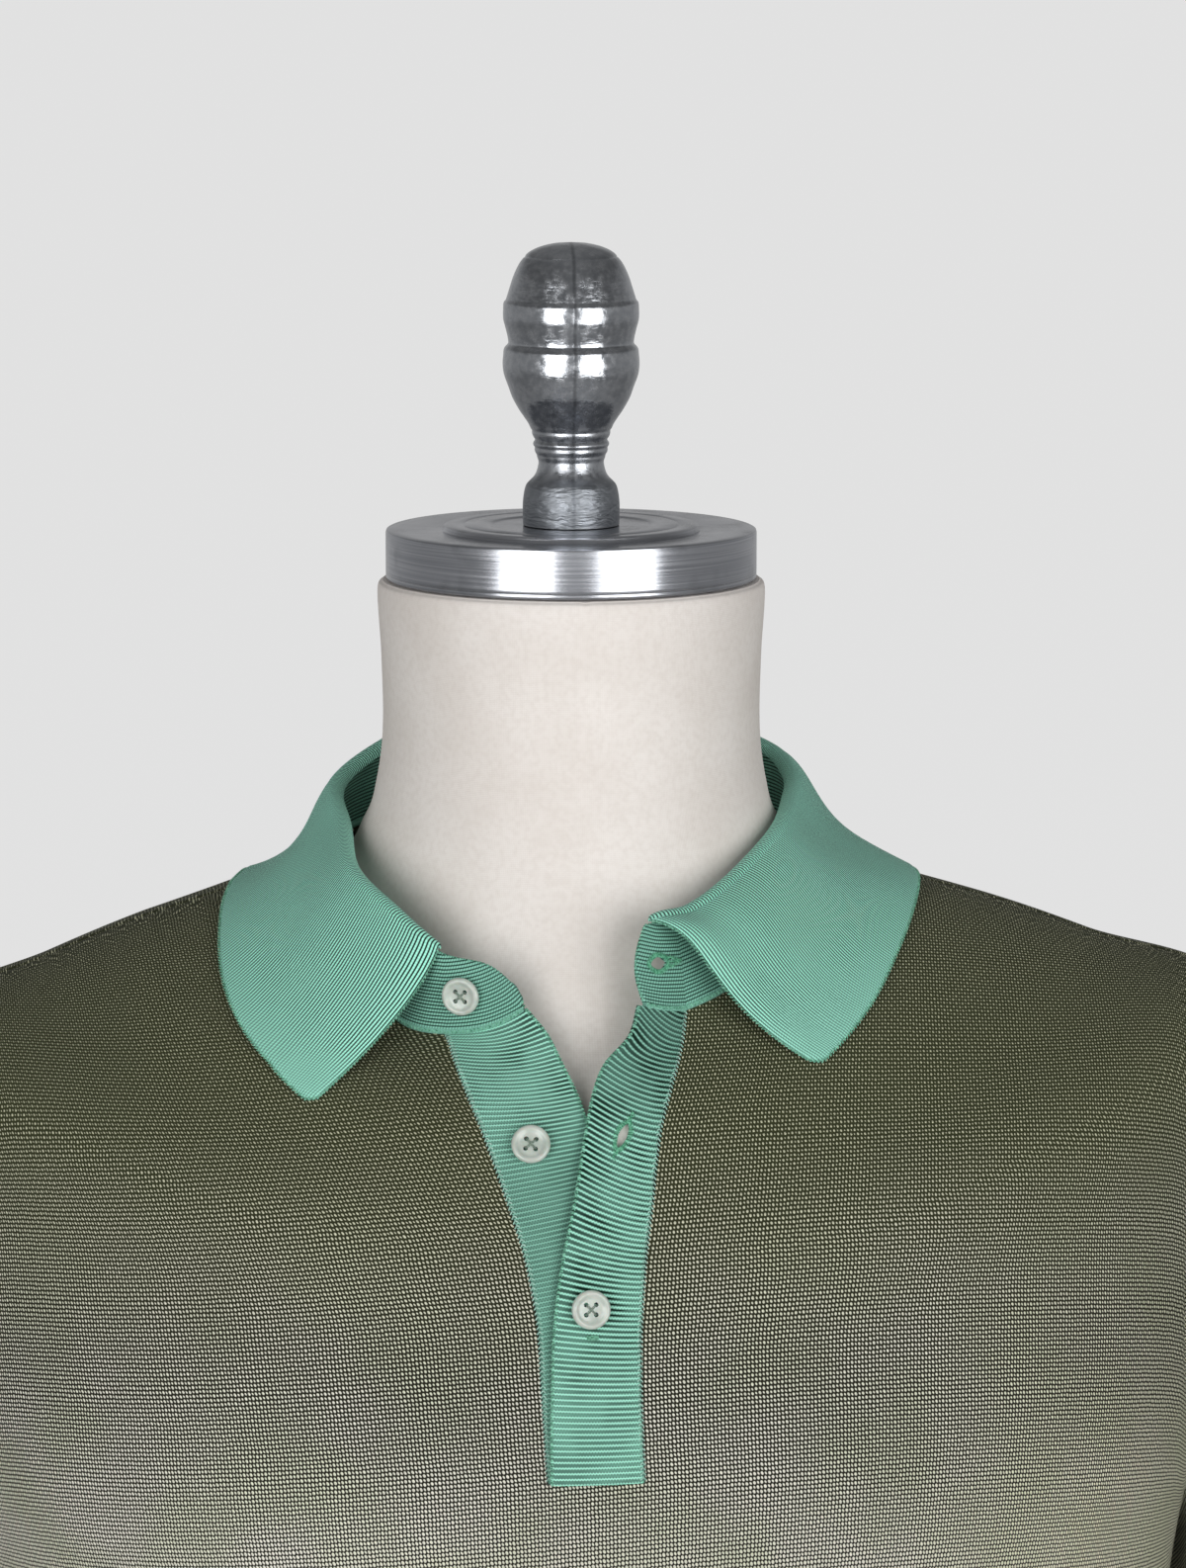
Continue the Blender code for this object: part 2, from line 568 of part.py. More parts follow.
def build_band(name, band, pitch, material):
    """A knitted band: ribs raised on its outer face across its whole width, a plain inner face."""
    marks = [band_point(band, FOOT_RUN * step / 50, 0.5) for step in range(51)]
    length = sum((there - here).length for here, there in zip(marks, marks[1:]))
    plain_rows = ceil(length / (pitch * RIB_ROWS_PER_PLAIN_ROW / ROWS_PER_RIB))
    rib_rows = plain_rows * RIB_ROWS_PER_PLAIN_ROW
    runs = even_runs(band, 0.0, FOOT_RUN - BAND_FOOT_ROOM, rib_rows)
    shares = [step / BAND_STEPS for step in range(BAND_STEPS + 1)]
    bm = bmesh.new()
    outer, inner = [], []
    for at, run in enumerate(runs):
        height = BAND_CLOTH + (RIB_HEIGHT if at % ROWS_PER_RIB else 0)
        outer.append([bm.verts.new(band_point(band, run, share) + band_out(band, run, share) * height)
                      for share in shares])
        if at % RIB_ROWS_PER_PLAIN_ROW == 0:
            inner.append([bm.verts.new(band_point(band, run, share)) for share in shares])
    for rows in (outer, inner):
        for upper, lower in zip(rows, rows[1:]):
            for corners in zip(upper, lower, lower[1:], upper[1:]):
                bm.faces.new(corners)
    for rim in (0, -1):
        for near, far, back, front in zip(outer[rim], outer[rim][1:], inner[rim][1:], inner[rim]):
            bm.faces.new((near, far, back, front))
        close_band_side(bm, [row[rim] for row in outer], [row[rim] for row in inner])
    bmesh.ops.recalc_face_normals(bm, faces=bm.faces)
    item = add_object(name, mesh_from(name, bm), material)
    return item


def even_runs(band, start, end, count):
    """Runs that divide a band's middle line into equal lengths."""
    fine = 400
    marks = [start + (end - start) * step / fine for step in range(fine + 1)]
    points = [band_point(band, mark, 0.5) for mark in marks]
    lengths = [0.0]
    for here, there in zip(points, points[1:]):
        lengths.append(lengths[-1] + (there - here).length)
    runs, at = [], 0
    for step in range(count + 1):
        target = lengths[-1] * step / count
        while at < fine - 1 and lengths[at + 1] < target:
            at += 1
        share = (target - lengths[at]) / (lengths[at + 1] - lengths[at])
        runs.append(marks[at] + (marks[at + 1] - marks[at]) * share)
    return runs


def close_band_side(bm, many, few):
    """Triangles between the ribbed edge and the plain edge of a band's side."""
    half = RIB_ROWS_PER_PLAIN_ROW // 2
    for at, (near, far) in enumerate(zip(few, few[1:])):
        first = at * RIB_ROWS_PER_PLAIN_ROW
        for step in range(RIB_ROWS_PER_PLAIN_ROW):
            tip = near if step < half else far
            bm.faces.new((many[first + step], many[first + step + 1], tip))
        bm.faces.new((near, many[first + half], far))


def build_bands():
    under = make_material("green rib under", GREEN, 0.8)
    over = make_material("green rib over", GREEN, 0.8)
    build_band("band_under", BUTTON_BAND, RIB_PITCH_UNDER, under)
    item = build_band("band_over", BUTTONHOLE_BAND, RIB_PITCH_OVER, over)
    middle = band_point(BUTTONHOLE_BAND, BUTTONHOLE_RUN, 0.5)
    down = band_point(BUTTONHOLE_BAND, BUTTONHOLE_RUN + 0.2, 0.5) - middle
    place = frame_at(middle, band_out(BUTTONHOLE_BAND, BUTTONHOLE_RUN, 0.5), down)
    width, length = BUTTONHOLE_OPEN
    cut(item, slot_cutter("buttonhole_2", length, width, place))


# ---- Collar --------------------------------------------------------------------------
def neck_line():
    """The neck's top edge as (angle, point) pairs, from one free end of the placket to the other."""
    right, left = BUTTON_BAND(0), BUTTONHOLE_BAND(0)
    right_middle, left_middle = ((size["free_x"] + size["seam_x"]) / 2 for size in (right, left))
    line = [(angle_at(0, right["free_x"]), band_point(BUTTON_BAND, 0, 1)),
            (angle_at(0, right_middle), band_point(BUTTON_BAND, 0, 0.5))]
    front, back = panel_angles("front", 0), panel_angles("back", 0)
    turned_back = [(angle - 2 * pi, shirt_point(0, angle)) for angle in back[::-1]]
    turned_left = [(angle - 2 * pi, shirt_point(0, angle)) for angle in front[1][::-1]]
    line += [(angle, shirt_point(0, angle)) for angle in front[0][::-1]] + turned_back + turned_left
    line += [(angle_at(0, left_middle) - 2 * pi, band_point(BUTTONHOLE_BAND, 0, 0.5)),
             (angle_at(0, left["free_x"]) - 2 * pi, band_point(BUTTONHOLE_BAND, 0, 1))]
    return line


def seam_point(station):
    """The neck seam under a station of the collar, on the straight edges of the pieces below."""
    angle = radians(STAND(station)["seam_angle"])
    line = neck_line()
    angle = min(max(angle, line[-1][0]), line[0][0])
    for (near, start), (far, end) in zip(line, line[1:]):
        if near >= angle >= far:
            return start.lerp(end, (near - angle) / max(near - far, 1e-9))
    raise ValueError("no neck edge at station %s" % station)


def neck_rim(station):
    """How high the rim of the piece below stands over the seam point."""
    angle = radians(STAND(station)["seam_angle"])
    for band, front_angle in ((BUTTON_BAND, angle), (BUTTONHOLE_BAND, angle + 2 * pi)):
        seam, free = (angle_at(0, band(0)[edge]) for edge in ("seam_x", "free_x"))
        share = (front_angle - seam) / (free - seam)
        if abs(front_angle) < pi / 2 and share > 0:
            return (BAND_CLOTH + RIB_HEIGHT) * band_out(band, 0, min(share, 1)).z
    return CLOTH * shirt_normal(0, angle).z + NECK_SAG


def top_point(station):
    top = STAND(station)
    return Vector((top["top_x"], top["top_y"], top["top_z"]))


def stand_point(station, share):
    """A point of the stand's inner face; share 0 is at the seam and 1 at the top."""
    foot = seam_point(station) + Vector((0, 0, neck_rim(station) + STAND_GAP))
    top = top_point(station)
    point = foot.lerp(top, share)
    away = Vector((point.x, point.y, 0)).normalized()
    return point + (away * STAND_BULGE + Vector((STAND(station)["swell"], 0, 0))) * sin(pi * share)


def stand_out(station, share):
    step = 0.05
    around = stand_point(min(station + step, STAND_END), share) - stand_point(max(station - step, 0), share)
    up = stand_point(station, 1) - stand_point(station, 0)
    out = around.cross(up).normalized()
    flat = stand_point(station, share)
    return out if out.x * flat.x + out.y * flat.y > 0 else -out


def collar_stations():
    """Evenly spread stations, with the leaf's two ends and the stand's round ends among them."""
    between = [LEAF_START + (LEAF_END - LEAF_START) * step / (COLLAR_STATIONS - 1)
               for step in range(COLLAR_STATIONS)]
    return [0.0, 0.15, 0.4, 1.0, 1.5] + between + [STAND_END]


def build_stand():
    stations = collar_stations()
    shares = [1 - step / STAND_STEPS for step in range(STAND_STEPS + 1)]
    grid = [[stand_point(station, share) for station in stations] for share in shares]
    # the stations run clockwise seen from above, so each row is turned round
    item = cloth("collar_stand", [row[::-1] for row in grid], COLLAR_CLOTH,
                 make_material("green knit stand", GREEN, 0.8))
    place = frame_at(stand_point(STAND_HOLE_STATION, STAND_HOLE_HEIGHT),
                     stand_out(STAND_HOLE_STATION, STAND_HOLE_HEIGHT),
                     stand_point(STAND_HOLE_STATION - .5, .5) - stand_point(STAND_HOLE_STATION, .5))
    length, width = STAND_HOLE_OPEN
    cut(item, slot_cutter("buttonhole_1", length, width, place))


def leaf_row(station):
    """The leaf's under side at one station, from the stand's top over the fold to its edge."""
    leaf = LEAF(station)
    top = top_point(station) + Vector((0, 0, SEAT_GAP * 2))
    step = 0.1
    along = top_point(min(station + step, LEAF_END)) - top_point(max(station - step, LEAF_START))
    out = Vector((-along.y, along.x, 0)).normalized()
    if out.x * top.x + out.y * top.y < 0:
        out.negate()
    points = []
    for turn in range(ROLL_STEPS + 1):
        bend = pi * ROLL_TURN * turn / ROLL_STEPS
        points.append(top + out * ROLL_RADIUS * (1 - cos(bend)) + Vector((0, 0, ROLL_RADIUS * sin(bend))))
    start = points[-1]
    angle = radians(leaf["edge_angle"])
    normal = shirt_normal(leaf["edge_run"], angle)
    edge = shirt_point(leaf["edge_run"], angle) + normal * (CLOTH + LEAF_HOVER)
    away = (edge - start) * Vector((1, 1, 0))
    lead = (out + away.normalized()).normalized()
    handle_1 = start + lead * leaf["fall_out"] - Vector((0, 0, leaf["fall_down"]))
    held = (start - edge) * Vector((leaf["hold_across"], leaf["hold_across"], leaf["hold_up"]))
    handle_2 = edge + held + normal * LEAF_BULGE
    for step in range(1, FALL_STEPS + 1):
        t = step / FALL_STEPS
        points.append(start * (1 - t) ** 3 + handle_1 * 3 * t * (1 - t) ** 2
                      + handle_2 * 3 * t * t * (1 - t) + edge * t ** 3)
    return points


def build_leaf():
    stations = [station for station in collar_stations() if LEAF_START <= station <= LEAF_END]
    columns = [leaf_row(station) for station in reversed(stations)]
    grid = [list(row) for row in zip(*columns)]
    cloth("collar_leaf", grid, COLLAR_CLOTH, make_material("green knit leaf", GREEN, 0.8))


# ---- Buttons -------------------------------------------------------------------------
def build_button(name, place):
    """A four-hole button with a raised rim, turned about its own axis and then placed."""
    radius, thickness = BUTTON_RADIUS, BUTTON_THICKNESS
    profile = [(radius * across, thickness * up) for up, across in BUTTON_PROFILE.rows]
    item = turned(name, profile, 20, make_material("shell " + name, SHELL, 0.25))
    item.matrix_world = place
    bm = bmesh.new()
    for turn in range(4):
        angle = pi / 4 + turn * pi / 2
        spot = Vector((cos(angle), sin(angle), 0)) * BUTTON_HOLE_SPREAD + Vector((0, 0, thickness / 2))
        bmesh.ops.create_cone(bm, cap_ends=True, segments=6, radius1=BUTTON_HOLE_RADIUS,
                              radius2=BUTTON_HOLE_RADIUS, depth=2 * thickness,
                              matrix=Matrix.Translation(spot))
    cut(item, add_cutter(name + "_holes", bm, place))


def build_buttons():
    seat = RIB_HEIGHT + SEAT_GAP
    out = stand_out(BUTTON_STAND_STATION, BUTTON_STAND_HEIGHT)
    on_stand = stand_point(BUTTON_STAND_STATION, BUTTON_STAND_HEIGHT) + out * (COLLAR_CLOTH + SEAT_GAP)
    along = stand_point(BUTTON_STAND_STATION + 0.3, 0.5) - stand_point(BUTTON_STAND_STATION, 0.5)
    build_button("button_1", frame_at(on_stand, out, along))
    for (name, (run, x)), band in zip(BUTTONS.items(), (BUTTON_BAND, BUTTONHOLE_BAND)):
        size = band(run)
        share = (x - size["seam_x"]) / (size["free_x"] - size["seam_x"])
        out = band_out(band, run, share)
        spot = band_point(band, run, share) + out * (BAND_CLOTH + seat)
        along = band_point(band, run, 1) - band_point(band, run, 0)
        build_button(name, frame_at(spot, out, along))


# ---- Everything ----------------------------------------------------------------------
for old in list(bpy.data.objects):
    bpy.data.objects.remove(old)
parts = bpy.data.collections.new(NAME)
cutters = bpy.data.collections.new("cutters")
bpy.context.scene.collection.children.link(parts)
bpy.context.scene.collection.children.link(cutters)

build_torso()
build_finial(build_cap())
build_body()
build_sleeves()
build_bands()
build_stand()
build_leaf()
build_buttons()
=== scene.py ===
import json
from math import cos, pi, radians, sin

import bpy
import numpy as np
from mathutils import Matrix, Vector

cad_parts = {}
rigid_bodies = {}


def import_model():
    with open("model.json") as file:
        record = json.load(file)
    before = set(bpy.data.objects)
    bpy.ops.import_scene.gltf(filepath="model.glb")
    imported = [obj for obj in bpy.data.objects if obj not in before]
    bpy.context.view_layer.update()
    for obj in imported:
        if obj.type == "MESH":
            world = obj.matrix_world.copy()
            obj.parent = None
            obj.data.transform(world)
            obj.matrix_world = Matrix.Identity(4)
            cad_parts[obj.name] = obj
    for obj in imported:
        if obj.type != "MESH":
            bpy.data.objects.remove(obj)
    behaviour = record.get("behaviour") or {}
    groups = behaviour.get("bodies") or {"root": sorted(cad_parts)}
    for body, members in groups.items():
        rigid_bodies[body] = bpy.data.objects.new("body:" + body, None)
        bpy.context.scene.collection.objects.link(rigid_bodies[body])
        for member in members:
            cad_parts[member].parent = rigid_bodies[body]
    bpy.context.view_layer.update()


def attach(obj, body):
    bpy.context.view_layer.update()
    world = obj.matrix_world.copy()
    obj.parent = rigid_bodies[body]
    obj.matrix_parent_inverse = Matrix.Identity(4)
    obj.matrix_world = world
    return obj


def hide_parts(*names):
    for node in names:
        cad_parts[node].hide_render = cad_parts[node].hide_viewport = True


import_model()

for anything in bpy.context.view_layer.objects:
    anything.select_set(False)

# The shirt's inner face, ring by ring: run, half width, front, back, side z, front z, back z,
# roundness, dip. Ring 0 is the neck seam, 3 the shoulder point, 5 the placket's foot,
# 7 the underarm and 12 the hem.
shirtRings = [
    (0, .0785, .0905, .0690, .7755, .7355, .7830, 0.90, 3.5),
    (1, .1240, .1095, .0890, .7610, .7130, .7530, 1.05, 2.4),
    (2, .1690, .1185, .1020, .7465, .6930, .7280, 1.10, 2.2),
    (3, .2135, .1255, .1100, .7310, .6710, .7030, 1.08, 2.0),
    (4, .2110, .1305, .1150, .6880, .6380, .6650, 1.00, 2.0),
    (5, .2090, .1335, .1175, .6370, .6040, .6220, 0.95, 2.0),
    (6, .2040, .1355, .1180, .5930, .5760, .5850, 0.92, 2.0),
    (7, .1950, .1360, .1180, .5500, .5480, .5500, 0.90, 2.0),
    (8, .1860, .1355, .1165, .4700, .4700, .4700, 0.90, 2.0),
    (9, .1830, .1330, .1150, .3700, .3700, .3700, 0.90, 2.0),
    (10, .1850, .1310, .1160, .2700, .2700, .2700, 0.90, 2.0),
    (11, .1880, .1300, .1180, .1700, .1700, .1700, 0.90, 2.0),
    (12, .1900, .1300, .1190, .0750, .0750, .0750, 0.90, 2.0),
]
formRings = [
    (0, .0600, .0600, .0600, .8650, .8650, .8650, 1.00, 2.0),
    (0.5, .0617, .0617, .0617, .8615, .8615, .8615, 1.00, 2.0),
    (1, .0606, .0606, .0606, .8420, .8420, .8420, 1.00, 2.0),
    (2, .0602, .0602, .0602, .8180, .8180, .8180, 1.00, 2.0),
    (3, .0622, .0618, .0618, .8010, .7960, .8060, 1.00, 2.2),
    (4, .0662, .0680, .0640, .7885, .7700, .7960, 1.00, 2.4),
    (5, .0785, .0840, .0660, .7746, .7360, .7815, 1.35, 3.5),
    (6, .1240, .1060, .0862, .7602, .7115, .7518, 1.18, 2.5),
    (7, .1690, .1150, .0990, .7456, .6925, .7267, 1.16, 2.2),
    (7.7, .1980, .1180, .1045, .7346, .6800, .7115, 1.06, 2.0),
    (8.3, .2040, .1220, .1090, .7170, .6600, .6900, 1.00, 2.0),
    (9, .2040, .1255, .1115, .6880, .6380, .6650, 0.98, 2.0),
    (10, .1990, .1285, .1135, .6370, .6040, .6220, 0.95, 2.0),
    (11, .1900, .1305, .1140, .5930, .5760, .5850, 0.92, 2.0),
    (12, .1800, .1300, .1130, .5450, .5450, .5450, 0.92, 2.0),
    (13, .1640, .1190, .1020, .4650, .4650, .4650, 0.92, 2.0),
    (14, .1560, .1100, .0960, .3800, .3800, .3800, 0.92, 2.0),
    (15, .1610, .1110, .1020, .2800, .2800, .2800, 0.92, 2.0),
    (16, .1680, .1130, .1080, .1700, .1700, .1700, 0.92, 2.0),
    (17, .1690, .1120, .1090, .0600, .0600, .0600, 0.92, 2.0),
    (18, .1660, .1100, .1070, .0120, .0120, .0120, 0.92, 2.0),
    (19, .1580, .1020, .0990, .0000, .0000, .0000, 0.92, 2.0),
]
# Half angle of the front and back panel at the armhole.
armholeEdge = [
    (3.0, 90, 90), (3.25, 77, 79), (3.5, 71, 74), (4.0, 66.5, 70.5), (4.5, 65, 69.5),
    (5.0, 65.5, 70.5), (5.5, 67.5, 72.5), (6.0, 71, 76), (6.5, 77.5, 81), (6.8, 84, 86),
    (7.0, 90, 90),
]
# The placket's two bands: run, seam x, free x, lift, rise.
buttonBand = [
    (0.0, -.0432, -.0200, .0010, .0092), (0.2, -.0429, -.0142, .0008, .0060),
    (0.4, -.0424, -.0108, .0006, .0035), (0.8, -.0396, -.0054, .0002, .0006),
    (1.25, -.0358, -.0024, -.0006, .0), (2.25, -.0284, -.0004, -.0016, .0),
    (3.5, -.0203, .0065, -.0019, .0), (4.2, -.0188, .0080, -.0019, .0),
    (5.0, -.0172, .0090, -.0019, .0),
]
holeBand = [
    (0.0, .0286, .0125, .0085, .0023), (0.25, .0272, .0098, .0069, .0012),
    (0.5, .0251, .0022, .0053, .0008), (0.8, .0222, -.0018, .0038, .0005),
    (1.25, .0186, -.0046, .0026, .0), (2.25, .0154, -.0086, .0023, .0),
    (3.5, .0116, -.0150, .0023, .0), (4.2, .0112, -.0162, .0023, .0),
    (5.0, .0121, -.0166, .0023, .0),
]
# Top of the collar stand: station, angle of the seam point under it, top x, y, z, swell.
standTop = [
    (0.00, -15.6, -.0236, -.0874, .7462, .0010), (0.40, -17.5, -.0256, -.0870, .7512, .0004),
    (1.00, -22.5, -.0322, -.0845, .7562, .0), (2.00, -34.0, -.0466, -.0790, .7595, .0),
    (3.00, -46.0, -.0597, -.0660, .7690, .0), (4.00, -64.0, -.0706, -.0440, .7778, .0),
    (5.00, -88.0, -.0719, -.0100, .7865, .0), (6.00, -112.0, -.0725, .0230, .7941, .0),
    (7.00, -137.0, -.0566, .0500, .8024, .0), (8.00, -158.0, -.0330, .0665, .8110, .0),
    (9.00, -180.0, .0, .0720, .8130, .0), (10.00, -202.0, .0340, .0665, .8105, .0),
    (11.00, -223.0, .0639, .0500, .8019, .0), (12.00, -248.0, .0714, .0230, .7963, .0),
    (13.00, -270.0, .0680, -.0040, .7915, .0), (14.00, -295.0, .0600, -.0350, .7860, .0),
    (15.00, -316.0, .0425, -.0640, .7755, .0), (16.00, -335.0, .0290, -.0775, .7692, .0),
    (16.60, -344.0, .0198, -.0840, .7686, -.0012), (17.00, -349.5, .0158, -.0862, .7680, -.0030),
]
# The leaf's edge on the body and its fall: station, run, angle, out, down, hold across, hold up.
leafEdge = [
    (2.00, 1.66, -34.3, .0040, .0085, .67, .42), (3.00, 1.50, -42.0, .0060, .0080, .60, .34),
    (4.00, 1.20, -56.0, .0070, .0075, .50, .24), (5.00, .80, -77.0, .0107, .0085, .43, .205),
    (6.00, .61, -100.0, .0072, .0084, .90, .0), (7.00, .84, -128.0, .0051, .0103, .36, .07),
    (8.00, 1.00, -154.0, .0045, .0170, .25, .34), (9.00, 1.05, -180.0, .0045, .0180, .20, .40),
    (10.00, 1.00, -206.0, .0045, .0170, .25, .34), (11.00, .84, -232.0, .0115, .0040, .61, .295),
    (12.00, .74, -258.0, .0061, .0113, .79, .313), (13.00, .70, -281.0, .0071, .0160, .22, .131),
    (14.00, .78, -300.0, .0100, .0060, .50, .22), (15.00, .94, -315.0, .0150, .0040, .62, .30),
    (16.80, 1.10, -327.8, .0220, .0010, .74, .42),
]
finialRows = [  # height and radius
    (.0, .0153), (.0063, .0154), (.0101, .0150), (.0126, .0143), (.0139, .0132), (.0151, .0120),
    (.0164, .0112), (.0183, .0106), (.0202, .0104), (.0220, .0111), (.0239, .0117), (.0256, .0121),
    (.0272, .0118), (.0286, .0123), (.0302, .0128), (.0318, .0134), (.0340, .0148), (.0365, .0165),
    (.0403, .0186), (.0441, .0200), (.0478, .0213), (.0510, .0217), (.0541, .0215), (.0558, .0213),
    (.0566, .0208), (.0573, .0201), (.0579, .0199), (.0600, .0202), (.0629, .0209), (.0654, .0215),
    (.0691, .0215), (.0706, .0213), (.0713, .0207), (.0722, .0204), (.0741, .0198), (.0760, .0192),
    (.0779, .0186), (.0804, .0176), (.0829, .0163),
    (.0854, .0143), (.0872, .0122), (.0886, .0090), (.0895, .0),
]
clothWall = .0012
collarWall = .0013
shoulders = {  # the wearer's right one hangs lower, and the left one's slope is fuller
    "from": .56, "over": .12,                       # the heights at which that sets in
    "drop": .0048, "dropFrom": .135, "dropOver": .055, "dropPower": 1.4,
    "fill": .0020, "fillAt": .140, "fillWidth": .035,
}
shirtShape = {
    "dip": .0040, "dipAngle": -.76, "dipWidth": .20, "dipRun": .13,     # neckline by the button band
    "leftHigher": .0055, "ripple": .0045, "rippleRun": 8, "ripples": 7,
}
leafShape = {
    "first": 2, "last": 16.8,                       # stations of its two ends
    "rollEnd": .0007, "rollMore": .0012, "rollOver": .45, "rollTurn": .9,
    "blunt": .028, "bluntOver": .18, "clear": .0009, "hold": .0040,
}


def readTable(rows, key):  # a smooth curve through the rows, one array for each column
    rows, key = np.array(rows, float), np.asarray(key, float)
    keys, values = rows[:, 0], rows[:, 1:]
    index = np.arange(len(keys))
    before, after = np.maximum(index - 1, 0), np.minimum(index + 1, len(keys) - 1)
    slopes = (values[after] - values[before]) / (keys[after] - keys[before])[:, None]
    at = np.clip(np.searchsorted(keys[1:], key, side="right"), 0, len(keys) - 2)
    span = (keys[at + 1] - keys[at])[..., None]
    t = (key - keys[at])[..., None] / span
    bend = (2 * t**3 - 3 * t**2 + 1) * values[at] + (t**3 - 2 * t**2 + t) * slopes[at] * span
    bend = bend + (3 * t**2 - 2 * t**3) * values[at + 1] + (t**3 - t**2) * slopes[at + 1] * span
    return np.moveaxis(bend, -1, 0)


def unit(vectors):
    return vectors / np.maximum(np.linalg.norm(vectors, axis=-1, keepdims=True), 1e-12)


def curve(start, handle1, handle2, end, t):
    return (start * (1 - t)**3 + handle1 * 3 * t * (1 - t)**2
            + handle2 * 3 * t * t * (1 - t) + end * t**3)


def lengthsAlong(path):  # from its first point to each point
    steps = np.linalg.norm(np.diff(path, axis=0), axis=-1)
    return np.concatenate([np.zeros((1,) + steps.shape[1:]), np.cumsum(steps, axis=0)])


def ringPoint(ring, angle):
    halfWidth, front, back, sideZ, frontZ, backZ, roundness, dip = ring
    across, forward = np.sin(angle), np.cos(angle)
    depth, endZ = np.where(forward > 0, front, back), np.where(forward > 0, frontZ, backZ)
    y = -depth * np.sign(forward) * np.abs(forward) ** roundness
    z = sideZ + (endZ - sideZ) * (1 - np.abs(across) ** dip)
    return np.stack(np.broadcast_arrays(halfWidth * across, y, z), -1)


def sunk(point):
    s, x = shoulders, point[..., 0]
    above = np.clip((point[..., 2] - s["from"]) / s["over"], 0, 1)
    lower = s["drop"] * np.clip((-x - s["dropFrom"]) / s["dropOver"], 0, 1) ** s["dropPower"]
    higher = s["fill"] * np.exp(-((x - s["fillAt"]) / s["fillWidth"]) ** 2)
    point[..., 2] -= (lower - higher) * above
    return point


def shirtPoint(run, angle):
    run, angle = np.broadcast_arrays(np.asarray(run, float), np.asarray(angle, float))
    s, near = shirtShape, 1 - run / 1.5             # near the neckline
    dip = np.exp(-((angle - s["dipAngle"]) / s["dipWidth"]) ** 2) * np.clip(near, 0, 1)
    point = ringPoint(readTable(shirtRings, run + s["dipRun"] * dip), angle)
    skewed = (np.cos(angle) > 0) & (near > 0)       # the wearer's left neckline sits higher
    skew = np.where(skewed, s["leftHigher"] * np.sin(2 * angle) * near, 0)
    point[..., 2] += skew - s["dip"] * dip
    low = np.clip((run - s["rippleRun"]) / 4, 0, None)
    wave = s["ripple"] * low * np.cos(s["ripples"] * angle + .5)
    point[..., 0] += np.sin(angle) * wave
    point[..., 1] -= np.cos(angle) * wave
    return sunk(point)


def shirtNormal(run, angle):
    down = shirtPoint(np.asarray(run) + .01, angle) - shirtPoint(np.asarray(run) - .01, angle)
    around = shirtPoint(run, np.asarray(angle) + .01) - shirtPoint(run, np.asarray(angle) - .01)
    return unit(np.cross(down, around))


def halfWidthAt(run):
    return readTable(shirtRings, run)[0]


def angleAt(run, x):
    return np.arcsin(np.clip(x / halfWidthAt(run), -1, 1))


def bandPoint(band, run, share):
    run, share = np.broadcast_arrays(np.asarray(run, float), np.asarray(share, float))
    seamX, freeX, lift, rise = readTable(band, run)
    angle = angleAt(run, seamX + (freeX - seamX) * share)
    point = shirtPoint(run, angle) + shirtNormal(run, angle) * (lift * share)[..., None]
    point[..., 2] += rise * share**2
    return point


def bandOut(band, run, share):
    run, share = np.broadcast_arrays(np.asarray(run, float), np.asarray(share, float))
    low = np.maximum(run - .02, 0)
    down = bandPoint(band, low + .04, share) - bandPoint(band, low, share)
    across = bandPoint(band, run, 1.0) - bandPoint(band, run, 0.0)
    out = unit(np.cross(down, across))
    out = np.where(out[..., 1:2] > 0, -out, out)
    beside = shirtNormal(run, angleAt(run, readTable(band, run)[0]))
    mix = np.minimum(1.0, 2 * share)[..., None]
    return unit(beside * (1 - mix) + out * mix)


def neckPoint(angle):  # the neck's top edge, over both bands and both panels
    angle = np.asarray(angle, float)
    point = shirtPoint(0.0, angle)
    rim = clothWall * shirtNormal(0.0, angle)[..., 2] + .0004
    for band, turned in ((buttonBand, angle), (holeBand, angle + 2 * pi)):
        seamX, freeX = (readTable(band, 0.0)[i] for i in (0, 1))
        seam, free = angleAt(0.0, seamX), angleAt(0.0, freeX)
        share = (turned - seam) / (free - seam)
        on = (np.abs(turned) < pi / 2) & (share > 0)
        held = np.clip(share, 0, 1)
        point = np.where(on[..., None], bandPoint(band, 0.0, held), point)
        rim = np.where(on, (clothWall + .00035) * bandOut(band, 0.0, held)[..., 2], rim)
    return point, rim


def standPoint(station, share):
    station, share = np.broadcast_arrays(np.asarray(station, float), np.asarray(share, float))
    seamAngle, topX, topY, topZ, swell = readTable(standTop, station)
    foot, rim = neckPoint(np.radians(seamAngle))
    foot[..., 2] += rim + .0008
    point = foot + (np.stack([topX, topY, topZ], -1) - foot) * share[..., None]
    away = unit(point * (1, 1, 0)) * .0012
    away[..., 0] += swell
    return point + away * np.sin(pi * share)[..., None]


def standOut(station, share):
    station = np.asarray(station, float)
    before, after = np.maximum(station - .05, 0), np.minimum(station + .05, 17)
    around = standPoint(after, share) - standPoint(before, share)
    up = standPoint(station, 1.0) - standPoint(station, 0.0)
    out = unit(np.cross(around, up))
    flat = standPoint(station, share)
    return np.where((out[..., :2] * flat[..., :2]).sum(-1, keepdims=True) > 0, out, -out)


